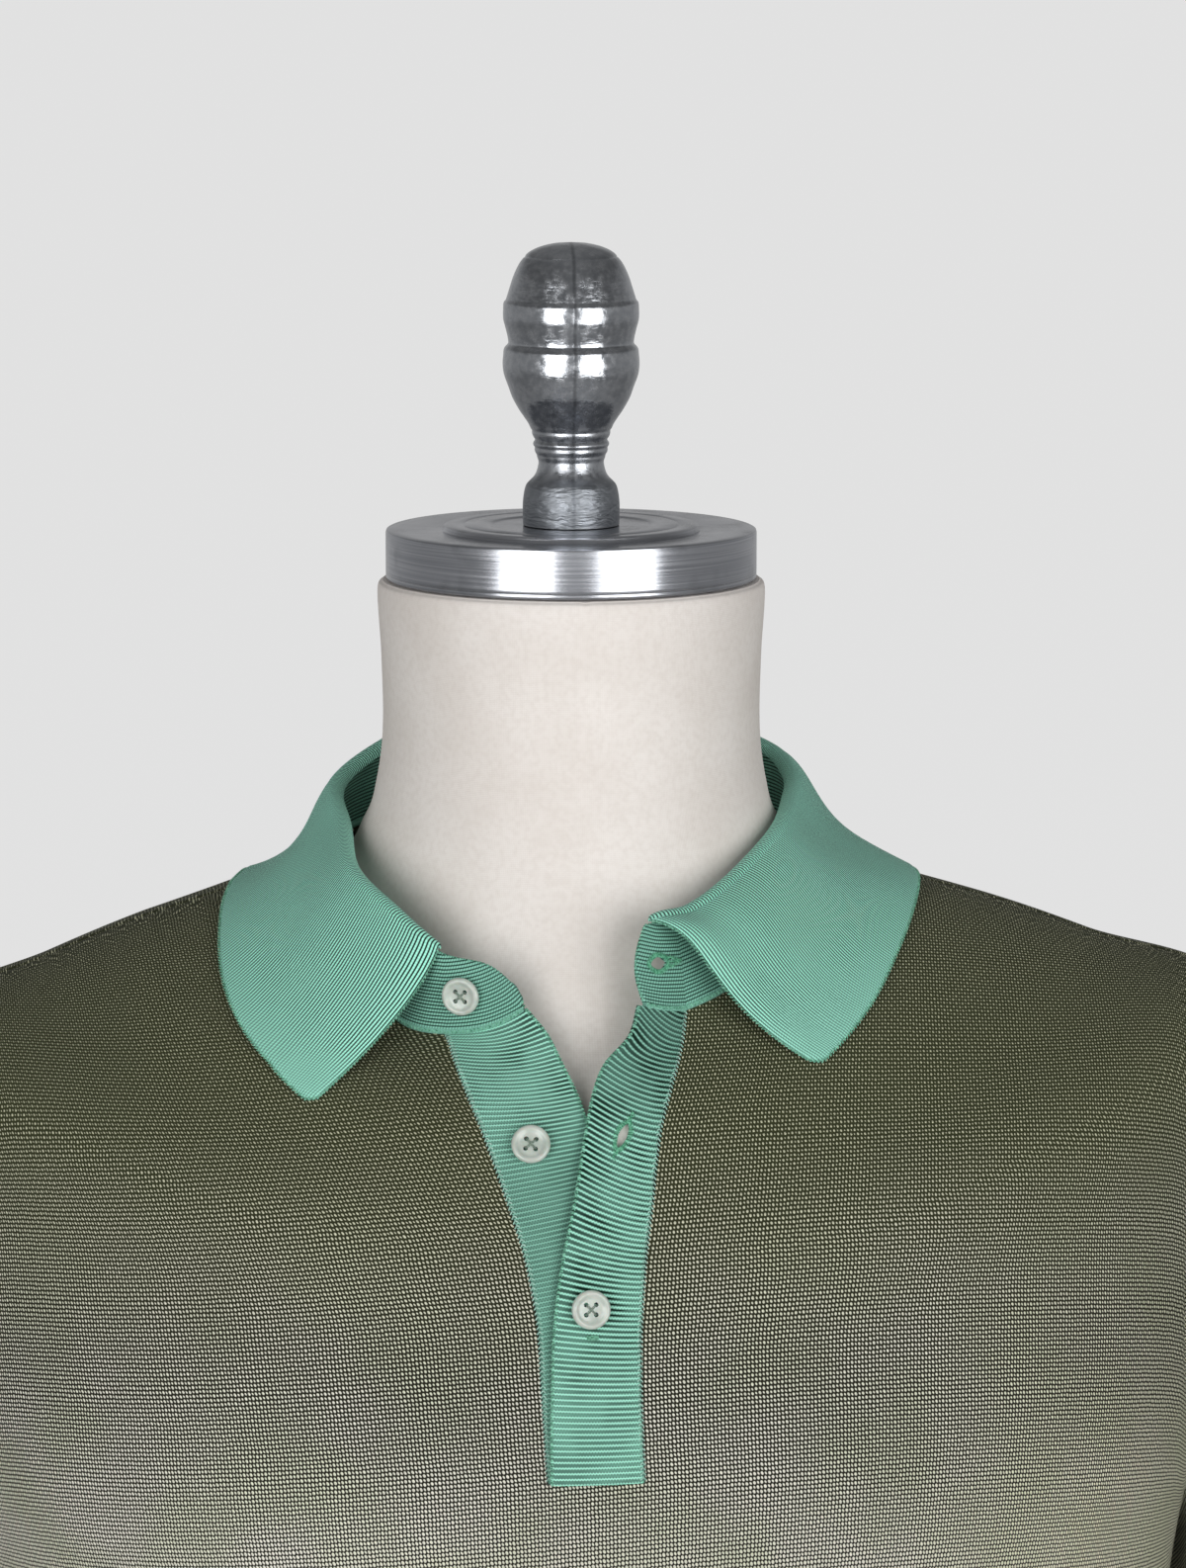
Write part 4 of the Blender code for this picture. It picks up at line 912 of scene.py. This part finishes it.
def clothPlaces(angles, runs, back=False):  # u along the courses, v up the wales
    xs = np.linspace(-.193, .193, 91)
    lengths = sliceLengths(runs, xs, back)
    turns = np.linspace(-pi / 2, pi / 2, 241)
    ring = shirtPoint(7.0, pi - turns if back else turns)
    arc = lengthsAlong(ring)
    arc -= arc[120]
    x = halfWidthAt(runs)[:, None] * np.sin(angles)      # without the ripples of the hem
    wide = halfWidthAt(np.maximum(runs, 3))[:, None]
    u = np.interp(x * .195 / wide, ring[:, 0], arc)
    v = np.array([np.interp(x[i], xs, lengths[i]) for i in range(len(runs))])
    if not back:
        held = np.minimum(runs, 5)
        seamX, slitX = (readTable(band, held)[0][:, None] for band in (buttonBand, holeBand))
        slit, (slope, bend, twist) = lay["slit"], lay["bow"]
        more = np.clip(-(x + slit) * lay["leftMore"], 0, lay["leftMost"])
        less = np.clip(1 - (x - slit) * lay["rightLess"], lay["rightLeast"], 1)
        leftLean = (seamX - buttonBand[-1][1]) * (1 + more)
        rightLean = (slitX - holeBand[-1][1]) * less
        pull = np.clip((x + slit) / lay["pullOver"], 0, 1)
        u = u - (leftLean * (1 - pull) + rightLean * pull)
        v = v - (slope * x + bend * x**2 + twist * x**3)
    return np.stack([u, v], -1)


def wallShare(gap):  # a wall's share of its thickness, thinner at a rounded edge
    share = np.clip(gap / panel["edgeRound"], 0, 1)
    return .45 + .55 * np.sqrt(1 - (1 - share)**2)


def roundedWall(points, normals, wall, *closeEdges):
    edges = {"left": points[:, :1], "right": points[:, -1:], "top": points[:1], "foot": points[-1:]}
    gap = np.full(points.shape[:2], 1.0)
    for edge in closeEdges:
        gap = np.minimum(gap, np.linalg.norm(points - edges[edge], axis=-1))
    return points + normals * (wall * wallShare(gap))[..., None]


def makeFront():
    runs = panelRuns()
    half, slitRun = panelHalf(runs, "front"), np.minimum(runs, 5)
    rightEnd = angleAt(runs, readTable(buttonBand, slitRun)[0] - .00045)
    leftEnd = angleAt(runs, readTable(holeBand, slitRun)[0] + .00045)
    shares = edgeShares(panel["sideColumns"])
    middle = np.linspace(0, 1, panel["middleColumns"] + 2)[1:-1]
    angles = np.concatenate([-half[:, None] + (rightEnd + half)[:, None] * shares,
                             rightEnd[:, None] + (leftEnd - rightEnd)[:, None] * middle,
                             leftEnd[:, None] + (half - leftEnd)[:, None] * shares], axis=1)
    points = shirtPoint(runs[:, None], angles)
    normals = shirtNormal(runs[:, None], angles)
    points[np.ix_(half > pi / 2 - 1e-6, (0, -1), (1,))] -= .0002
    keep = np.ones((len(runs) - 1, angles.shape[1] - 1), bool)
    slit = slice(panel["sideColumns"] - 1, panel["sideColumns"] + panel["middleColumns"])
    keep[runs[:-1] < 5 - 1e-6, slit] = False
    outer = roundedWall(points, normals, clothWall, "left", "right", "foot")
    uv = clothPlaces(angles, runs)
    piece = thickCloth("frontPanel", points, outer, uv, oliveKnit, keep=keep)
    dress(piece, "olive_knit", "shirt_front")


def makeBack():
    runs = panelRuns()
    half = panelHalf(runs, "back")
    shares = edgeShares(panel["backColumns"])
    angles = pi - half[:, None] + 2 * half[:, None] * shares
    points = shirtPoint(runs[:, None], angles)
    normals = shirtNormal(runs[:, None], angles)
    points[np.ix_(half > pi / 2 - 1e-6, (0, -1), (1,))] += .0002
    outer = roundedWall(points, normals, clothWall, "left", "right", "foot")
    uv = clothPlaces(angles, runs, back=True)
    piece = thickCloth("backPanel", points, outer, uv, oliveKnit)
    dress(piece, "olive_knit", "shirt_back")


print("front and back")
makeFront()
makeBack()

sleeve = {
    "cuffTop": (.2740, .5180), "cuffFoot": (.2090, .4560), "halfDepth": .0660, "centreY": -.0040,
    "columns": 132, "rows": 92, "hem": .020,
    "leave": .055, "leaveLess": .75, "arrive": .060, "arriveLess": .40,     # its two handles
}
loopRuns = [3, 3.25, 3.5, 4, 4.5, 5, 5.5, 6, 6.5, 6.8, 7]


def smoothLoop(values, at):  # a closed smooth curve through the rows
    count = len(values)
    i = np.floor(at).astype(int)
    t = (at - i)[:, None]
    p = [values[(i + k) % count] for k in (-1, 0, 1, 2)]
    return .5 * (2 * p[1] + (p[2] - p[0]) * t + (2 * p[0] - 5 * p[1] + 4 * p[2] - p[3]) * t**2
                 + (3 * p[1] - p[0] - 3 * p[2] + p[3]) * t**3)


def makeSleeve(side, name):
    around = loopRuns + loopRuns[::-1][1:-1]
    count, underarm = len(around), len(loopRuns) - 1
    faces = ["front"] * len(loopRuns) + ["back"] * (count - len(loopRuns))
    onwards = []
    for run, face in zip(around, faces):
        half = float(panelHalf(np.array(run), face))
        angle = side * (half if face == "front" else pi - half)
        turn = side if face == "front" else -side
        onward = unit(shirtPoint(run, angle + turn * .02) - shirtPoint(run, angle))
        if run == 3:
            onward = unit(shirtPoint(run, angle) - shirtPoint(run - .02, angle))
        if run == 7:
            onward = np.array((0, 0, 1.0))
        onwards.append(onward)
    at = underarm + count * np.arange(sleeve["columns"]) / sleeve["columns"]
    onward = unit(smoothLoop(np.array(onwards), at))
    spot = at % count
    run = np.interp(spot, range(count + 1), around + [3])
    onFront = spot <= underarm
    half = np.where(onFront, panelHalf(run, "front"), panelHalf(run, "back"))
    angle = side * np.where(onFront, half, pi - half)
    point = shirtPoint(run, angle)
    length = lengthsAlong(np.concatenate([point, point[:1]]))
    top = int(np.argmin(np.abs(at - count)))
    turn = np.where(np.arange(len(at)) <= top, pi + pi * length[:-1] / length[top],
                    2 * pi + pi * (length[:-1] - length[top]) / (length[-1] - length[top]))
    low = np.clip((run - 5) / 2, 0, None)
    start = point + onward * .0006
    start[:, 2] += .0018 * low**3
    outward = unit(np.stack([side + 0 * low, 0 * low, -.35 - .50 * low], -1))
    lean = (.35 + .65 * low**3)[:, None]
    leave = unit(onward * (1 - lean) + outward * lean)
    (topX, topZ), (footX, footZ) = sleeve["cuffTop"], sleeve["cuffFoot"]
    end = np.stack([side * ((topX + footX) / 2 + (topX - footX) / 2 * np.cos(turn)),
                    sleeve["centreY"] - sleeve["halfDepth"] * np.sin(turn),
                    (topZ + footZ) / 2 + (topZ - footZ) / 2 * np.cos(turn)], -1)
    arrive = unit(np.array((side * (topZ - footZ), 0, footX - topX)))
    handle1 = start + leave * (sleeve["leave"] * (1 - sleeve["leaveLess"] * low))[:, None]
    handle2 = end - arrive * (sleeve["arrive"] * (1 - sleeve["arriveLess"] * low))[:, None]
    rows = []
    inside = np.linspace(0, 1, sleeve["rows"] - 3)[1:-1]
    for share in np.concatenate([[0, .004], inside, [.996, 1]]):
        rows.append(curve(start, handle1, handle2, end, share ** 1.25))
    points = np.array(rows)
    normals = gridNormals(points, closed=True)
    middle = points[40].mean(0)
    if (normals[40] * (points[40] - middle)).sum() < 0:
        normals = -normals
    down = lengthsAlong(points)
    hem = down[-1] - down                   # a stitched hem line near the cuff
    fold, line = np.exp(-((hem - .004) / .006)**4), np.exp(-((hem - sleeve["hem"]) / .0008)**2)
    wall = clothWall * (1 + .25 * fold - .45 * line) * wallShare(np.minimum(down, hem))
    outer = points + normals * wall[..., None]
    aroundLength = lengthsAlong(np.concatenate([points[45], points[45, :1]]))
    uv = np.stack([np.broadcast_to(aroundLength, (len(rows), len(at) + 1)),
                   -np.concatenate([down, down[:, :1]], axis=1)], -1)
    piece = thickCloth(name, points, outer, uv, oliveKnit, closed=True)
    node = "sleeve_left" if side > 0 else "sleeve_right"
    dress(piece, "olive_knit", node)


print("sleeves")
makeSleeve(1, "leftSleeve")
makeSleeve(-1, "rightSleeve")

ribs = {  # drop is how far the ribs fall towards the free edge, by the place along the band
    "over": {
        "pitch": .00172, "height": .00042, "rowsPerRib": 8, "curve": 1.4, "flat": (.0285, .152),
        "drop": [(0, .0098), (.030, .0102), (.058, .0092), (.073, .0073), (.088, .0046),
                 (.105, .0022), (.125, .0008), (.152, 0)],
    },
    "under": {
        "pitch": .00146, "height": .00018, "rowsPerRib": 8, "curve": 1.0, "flat": (.0300, .152),
        "drop": [(0, -.0010), (.012, .0010), (.036, .0068), (.055, .0078), (.085, .0062),
                 (.150, .0050)],
    },
    "columns": 26, "reach": .006, "width": .026, "holePower": 1.6,
}


def outsideHole(points, hole):  # cells clear of an almond-shaped opening
    centre, along, out, length, width = hole
    middle = (points[:-1, :-1] + points[1:, 1:]) / 2 - centre
    x, y = middle @ along / (length / 2), middle @ np.cross(out, along) / (width / 2)
    return np.abs(x) ** ribs["holePower"] + np.abs(y) ** ribs["holePower"] > 1


def bandLengths(band):
    runs = np.linspace(0, 4.988, 500)
    return runs, lengthsAlong(bandPoint(band, runs, .5))


def makeBand(name, node, band, facts, material, hole=None):
    runs, lengths = bandLengths(band)
    total, pitch = lengths[-1], facts["pitch"]
    shares = edgeShares(ribs["columns"])
    if hole:
        shares = np.unique(np.concatenate([shares, np.linspace(.40, .60, 19)]))
    fromFree = 1 - shares
    dropAt, dropBy = zip(*facts["drop"])
    step, reach = pitch / facts["rowsPerRib"], ribs["reach"]
    marks = np.arange(-reach, total + reach, step)          # a rib's own place along the band
    drop = np.interp(marks, dropAt, dropBy)[:, None]
    bent = 1 - (1 - fromFree) ** facts["curve"]
    place = marks[:, None] + drop * (bent - .5)[None, :]
    place = np.clip(place, 0, total)
    run = np.interp(place, lengths, runs)
    points = bandPoint(band, run, shares[None, :])
    outs = bandOut(band, run, shares[None, :])
    away = np.abs((marks / pitch) % 1 - .5) * 2             # 0 on the crest, 1 in the groove
    crest = np.sqrt(np.clip(1 - away**2.6, 0, 1))[:, None] * .95 + .05
    gap = np.minimum(shares, 1 - shares)[None, :] * ribs["width"]
    rise = facts["height"] * crest * np.clip(gap / panel["edgeRound"], 0, 1)
    wall = clothWall * wallShare(gap) + rise
    outer = points + outs * wall[..., None]
    seamX, freeX = readTable(band, np.clip(run, 0, 5))[:2]
    width = np.abs(freeX - seamX)
    uv = np.stack([width * shares[None, :], np.broadcast_to(marks[:, None], width.shape)], -1)
    still = np.abs(np.diff(place, axis=0)) < 1e-9           # cells past the band's ends have no size
    keep = ~(still[:, :-1] & still[:, 1:])
    if hole:
        keep &= outsideHole(points, hole)
    piece = thickCloth(name, points, outer, uv, material, keep=keep)
    editWhole(piece, bpy.ops.mesh.remove_doubles, threshold=.000002)
    dress(piece, "green_rib", node)


def holeFrame(point, out, along, length, width):
    out = unit(out)
    along = unit(along - out * (along @ out))
    return point, along, out, length, width


overHole = holeFrame(bandPoint(holeBand, 1.29, .5), bandOut(holeBand, 1.29, .5),
                     bandPoint(holeBand, 1.49, .555) - bandPoint(holeBand, 1.29, .5), .0086, .0030)
print("placket")
makeBand("underBand", "band_under", buttonBand, ribs["under"], underRib)
makeBand("overBand", "band_over", holeBand, ribs["over"], overRib, overHole)

collar = {"standRows": 34, "leafColumns": 300, "rollRows": 9, "fallRows": 44}


def makeStand():
    stations = np.concatenate([np.linspace(0, .6, 22), np.linspace(.6, 16.2, 230)[1:-1],
                               np.linspace(16.2, 17, 44)])
    shares = np.concatenate([[0, .02], np.linspace(0, 1, collar["standRows"] - 2)[1:-1],
                             np.linspace(.44, .60, 15), [.98, 1]])      # finer at the buttonhole
    shares = np.unique(shares)[::-1]
    points = standPoint(stations[None, :], shares[:, None])
    normals = outwardNormals(points, 10)
    outer = roundedWall(points, normals, collarWall, "left", "right", "top")
    along = lengthsAlong(points[len(shares) // 2])
    up = np.linalg.norm(points - points[-1:], axis=-1)
    uv = np.stack([up, np.broadcast_to(along, up.shape)], -1)           # its lines run along the collar
    keep = outsideHole(points, standHole)
    piece = thickCloth("standKnitted", points, outer, uv, shadedStandKnit, keep=keep)
    dress(piece, "green_knit", "collar_stand")


def makeLeaf():
    first, last, nearEnd = leafShape["first"], leafShape["last"], .012
    inside = np.linspace(first, last, collar["leafColumns"])[1:-1]
    stations = np.concatenate([[first, first + nearEnd], inside, [last - nearEnd, last]])
    points = leafColumn(stations, collar["rollRows"], collar["fallRows"])
    normals = outwardNormals(points, 30)
    outer = roundedWall(points, normals, collarWall, "left", "right", "foot")
    down = lengthsAlong(points)
    uv = np.stack([np.broadcast_to(lengthsAlong(points[30]), down.shape), -down], -1)
    piece = thickCloth("leafKnitted", points, outer, uv, leafKnit)
    dress(piece, "green_knit", "collar_leaf")
    return points, outer


standHole = holeFrame(standPoint(16.62, .52), standOut(16.62, .52),
                      standPoint(16.12, .5) - standPoint(16.62, .5), .0062, .0042)
print("collar")
makeStand()
leafInner, leafOuter = makeLeaf()

linking = {
    "fine": {"size": (.00128, .00046, .00056), "pitch": .00128, "spread": .00024, "lean": .60},
    "seam": {"size": (.00170, .00052, .00060), "pitch": .00150, "spread": .00042, "lean": .75},
}
beads = {kind: stitchTemplate(*facts["size"]) for kind, facts in linking.items()}


def chain(name, kind, path, outs, material=greenYarn):
    facts = linking[kind]
    places = chainPlaces(path, outs, facts["pitch"], facts["spread"], facts["lean"])
    dress(copiesOf(name, beads[kind], places, material), "green_knit")


print("linking stitches")
fineRuns = np.linspace(0.0, 4.97, 160)
for name, band, height in (("under", buttonBand, .00115), ("over", holeBand, .00125)):
    outs = bandOut(band, fineRuns, .02)
    path = bandPoint(band, fineRuns, .012) + outs * height
    chain(name + "SeamStitches", "seam", path, outs, paleYarn)
    outs = bandOut(band, fineRuns, .98)
    path = bandPoint(band, fineRuns, .990) + outs * height * .85
    chain(name + "EdgeStitches", "fine", path, outs)
footShares = np.linspace(0, 1, 40)
outs = bandOut(holeBand, 4.98, footShares)
chain("footStitches", "fine", bandPoint(holeBand, 4.98, footShares) + outs * .0011, outs)


def aroundLeaf(rows):  # down one end, along the edge and up the other end
    start = collar["rollRows"]
    return np.concatenate([rows[start:, 0], rows[-1, 1:-1], rows[start:, -1][::-1]])


leafOuts = aroundLeaf(unit(leafOuter - leafInner))
leafPath = aroundLeaf((leafInner + leafOuter) / 2) + leafOuts * .0005
chain("leafEdgeStitches", "fine", leafPath, leafOuts)

endShares = np.linspace(.04, .98, 24)
startStations, lastStations = np.linspace(.02, 2.1, 50), np.linspace(16.3, 16.98, 24)
path = np.concatenate([standPoint(.015, endShares), standPoint(startStations, .985)])
outs = np.concatenate([standOut(.02, endShares), standOut(startStations, .9)])
chain("standEndStitches", "fine", path + outs * .0008, outs)
path = np.concatenate([standPoint(lastStations, .985), standPoint(16.985, endShares[::-1])])
outs = np.concatenate([standOut(lastStations, .9), standOut(16.98, endShares[::-1])])
chain("standTipStitches", "fine", path + outs * .0008, outs)
seamStations = np.linspace(.02, 16.98, 400)
outs = standOut(seamStations, .03)
rollPath = standPoint(seamStations, 0) + outs * .00060 - (0, 0, .0004)
chain("neckSeamStitches", "fine", rollPath + outs * .0012, outs)


def makeRoll(path, outs, radius, sides=10):  # the linked seam allowance under the stand
    ahead = unit(np.gradient(path, axis=0))
    beside = unit(np.cross(ahead, outs))
    turns = (2 * pi * np.arange(sides) / sides)[None, :, None]
    points = path[:, None] + (outs[:, None] * np.cos(turns) + beside[:, None] * np.sin(turns)) * radius
    last = (len(path) - 1) * sides
    faces = [list(quad) for quad in gridQuads(*points.shape[:2], closed=True)[0]]
    faces += [list(range(sides)), list(range(last, last + sides))]
    corners = [(0, 0)] * sum(len(face) for face in faces)
    piece = meshFrom("neckRoll", points.reshape(-1, 3), faces, corners, shadedStandKnit)
    editWhole(piece, bpy.ops.mesh.normals_make_consistent, inside=False)
    dress(piece, "green_knit")


makeRoll(rollPath, outs, .0011)

button = {
    "radius": .00600, "thickness": .0026, "holeRadius": .00072, "spread": .00215,
    "stations": (1.55, 1.85), "under": (1.43, -.0209), "over": (3.43, -.0043),  # on stand and bands
    "gap": .00065,
    "rows": [(0, .70), (.10, .82), (.22, .92), (.40, .985), (.62, 1.0), (.80, .985), (.93, .93),
             (1.0, .865), (.995, .80), (.94, .735), (.84, .68), (.76, .61), (.72, .50), (.72, .15)],
}


def makeButton(name, node, place):
    radius, thickness = button["radius"], button["thickness"]
    rows = [(radius * across, thickness * up) for up, across in button["rows"]]
    piece = turnedPiece(name, rows, 64, shell)
    drills = []
    for turn in range(4):
        angle, spread = pi / 4 + turn * pi / 2, button["spread"]
        bpy.ops.mesh.primitive_cylinder_add(
            vertices=20, radius=button["holeRadius"], depth=3 * thickness,
            location=(spread * cos(angle), spread * sin(angle), 0))
        drills.append(bpy.context.object)
        drills[-1].select_set(False)
    bpy.context.view_layer.objects.active = piece
    piece.select_set(True)
    for drill in drills:
        cut = piece.modifiers.new("hole", "BOOLEAN")
        cut.object, cut.operation = drill, "DIFFERENCE"
        bpy.ops.object.modifier_apply(modifier="hole")
    for drill in drills:
        bpy.data.objects.remove(drill)
    piece.data.shade_smooth()
    piece.data.set_sharp_from_angle(angle=radians(35))
    piece.select_set(False)
    piece.data.transform(place)
    dress(piece, "shell", node)
    crossings = []
    for turn, height in ((pi / 4, 0), (3 * pi / 4, .00015)):
        for shift in (-.00020, .00020):
            crossings.append(place @ Matrix.Rotation(turn, 4, "Z")
                             @ Matrix.Translation((0, shift, thickness * .74 + height)))
    thread = copiesOf(name + "Thread", threadBead, crossings, buttonYarn)
    dress(thread, "green_knit")


print("buttons")
threadBead = stitchTemplate(.0048, .00036, .00070, 8, 8)


def placeOnBand(band, run, x, height, outShare=None):
    seamX, freeX = readTable(band, run)[:2]
    share = (x - seamX) / (freeX - seamX)
    out = bandOut(band, run, share if outShare is None else outShare)
    across = bandPoint(band, run, 1.0) - bandPoint(band, run, 0.0)
    return placeOn(bandPoint(band, run, share) + out * height, out, across)


foot, ahead = (standPoint(station, .5) for station in button["stations"])
out = standOut(button["stations"][0], .5)
buttonPlaces = [placeOn(foot + out * (collarWall + .0003), out, ahead - foot),
                placeOnBand(buttonBand, *button["under"], clothWall + button["gap"]),
                placeOnBand(holeBand, *button["over"], clothWall + button["gap"])]
for number, place in enumerate(buttonPlaces, start=1):
    makeButton("shellButton%d" % number, "button_%d" % number, place)

satin = stitchTemplate(.00190, .00040, .00062)


def buttonholeStitches(name, hole, height, tails):
    centre, along, out, length, width = hole
    power, frameOf = ribs["holePower"], placeOn(centre + out * height, out, along)
    places = []
    for turn in np.linspace(0, 2 * pi, 46, endpoint=False):
        x, y = cos(turn), sin(turn)
        size = 1 / (abs(x) ** power + abs(y) ** power) ** (1 / power)
        x, y = x * size * length / 2, y * size * width / 2
        slant = np.arctan2(y / width, x / length) + .25 * sin(5 * turn)
        places.append(frameOf @ Matrix.Translation((x + cos(slant) * .00062, y + sin(slant) * .00062, 0))
                      @ Matrix.Rotation(slant, 4, "Z"))
    for x, y, slant in tails:
        places.append(frameOf @ Matrix.Translation((x, y, 0)) @ Matrix.Rotation(slant, 4, "Z"))
    dress(copiesOf(name, satin, places, satinYarn), "green_knit")


print("buttonholes")
overTails = [(side * (.0053 + i * .0006), (-1) ** i * .0002, .5 + i * .9)
             for side in (-1, 1) for i in range(5)]
standTails = [(.0042 + i * .00062, row * (.0016 - i * .00024), .35 * row + .2 * (-1) ** i)
              for i in range(7) for row in (-1, 0, 1)]
buttonholeStitches("overButtonhole", overHole, .00165, overTails)
buttonholeStitches("standButtonhole", standHole, .00150, standTails)


stay = {"halfLength": .0068, "halfWidth": .0030, "behind": .0007, "thickness": .0003}


def makeStay(hole):  # a pale patch behind the second buttonhole keeps it from stretching
    centre, along, out, length, width = hole
    across = np.cross(out, along)
    x, y = np.meshgrid(np.linspace(-stay["halfLength"], stay["halfLength"], 9),
                       np.linspace(-stay["halfWidth"], stay["halfWidth"], 5), indexing="ij")
    points = centre + x[..., None] * along + y[..., None] * across - out * stay["behind"]
    outer = points + out * stay["thickness"]
    piece = thickCloth("buttonholeStay", points, outer, np.stack([x, y], -1), canvas)
    dress(piece, "green_knit")


makeStay(overHole)
tackPlace = placeOnBand(holeBand, 3.68, -.0036, .0017, .36)
tacks = [tackPlace @ Matrix.Translation((i * .0004, 0, 0)) @ Matrix.Rotation(pi / 2, 4, "Z")
         for i in range(-4, 5)]
dress(copiesOf("barTack", satin, tacks, greenYarn), "green_knit")

studio = {
    "glow": .735, "floor": .12,             # the floor's own light and colour
    "horizon": .42, "zenith": .17, "below": .22, "side": .65,
    "softboxes": [
        {"name": "left softbox", "azimuth": -32.0, "distance": 2.4, "height": .93,
         "size": (1.42, 1.80), "power": 29, "mirrored": True},
        {"name": "right softbox", "azimuth": 30.7, "distance": 2.4, "height": .93,
         "size": (1.56, 1.80), "power": 29, "mirrored": True},
        {"name": "back softbox", "azimuth": 180, "distance": 2.6, "height": .90,
         "size": (2.2, 1.5), "power": 27, "mirrored": False},
    ],
    "camera": (-.1500, -1.9944, 1.1119), "turn": (81.1, 0, -4.5), "lens": 145.27,
}


def makeFloor():
    bpy.ops.mesh.primitive_circle_add(vertices=96, radius=60, fill_type="NGON", location=(0, 0, -.0002))
    floor = bpy.context.object
    floor.name = "floor"
    floor.visible_glossy = False            # metal mirrors the dark room, and cloth is lit by it
    floor.visible_diffuse = False
    look = {"Roughness": .9, "Base Color": (studio["floor"],) * 3 + (1,), "Specular IOR Level": 0,
            "Emission Color": (1, 1, 1, 1), "Emission Strength": studio["glow"]}
    floor.data.materials.append(Surface("pale floor", look).material)
    floor.select_set(False)


def makeWorld():  # brighter at the horizon and from below, dimmer at both sides
    world = bpy.data.worlds.new("studio")
    bpy.context.scene.world = world
    world.use_nodes = True
    m, sky = Nodes(world.node_tree), world.node_tree.nodes["Background"]
    x, _, z = m.split(m.put("TexCoord").outputs["Generated"])
    climb = m.ramp(z.through("ABSOLUTE"), .10, .45, studio["horizon"], studio["zenith"], smooth=False)
    below = m.ramp(z, -.95, -.20, studio["below"], 0.0, smooth=False)
    dim = m.ramp(x.through("ABSOLUTE"), .2, .95, 1.0, studio["side"], smooth=False)
    m.feed(sky.inputs["Strength"], (climb + below) * dim)
    sky.inputs["Color"].default_value = (1, 1, 1, 1)


def makeSoftbox(facts):
    light = bpy.data.lights.new(facts["name"], "AREA")
    light.shape = "RECTANGLE"
    light.size, light.size_y = facts["size"]
    light.energy = facts["power"]
    lamp = bpy.data.objects.new(facts["name"], light)
    bpy.context.scene.collection.objects.link(lamp)
    turn, height = radians(facts["azimuth"]), facts["height"]
    lamp.location = (facts["distance"] * sin(turn), -facts["distance"] * cos(turn), height)
    lamp.visible_glossy = facts["mirrored"]
    way = Vector((0, 0, height)) - lamp.location
    lamp.rotation_euler = way.to_track_quat("-Z", "Y").to_euler()


print("studio")
makeFloor()
makeWorld()
for facts in studio["softboxes"]:
    makeSoftbox(facts)

camera = bpy.data.objects.new("camera", bpy.data.cameras.new("camera"))
bpy.context.scene.collection.objects.link(camera)
camera.location = studio["camera"]
camera.rotation_euler = [radians(turn) for turn in studio["turn"]]
camera.data.lens, camera.data.sensor_width, camera.data.clip_end = studio["lens"], 36, 200
bpy.context.scene.camera = camera
bpy.context.scene.view_settings.view_transform = "Standard"

print("done")
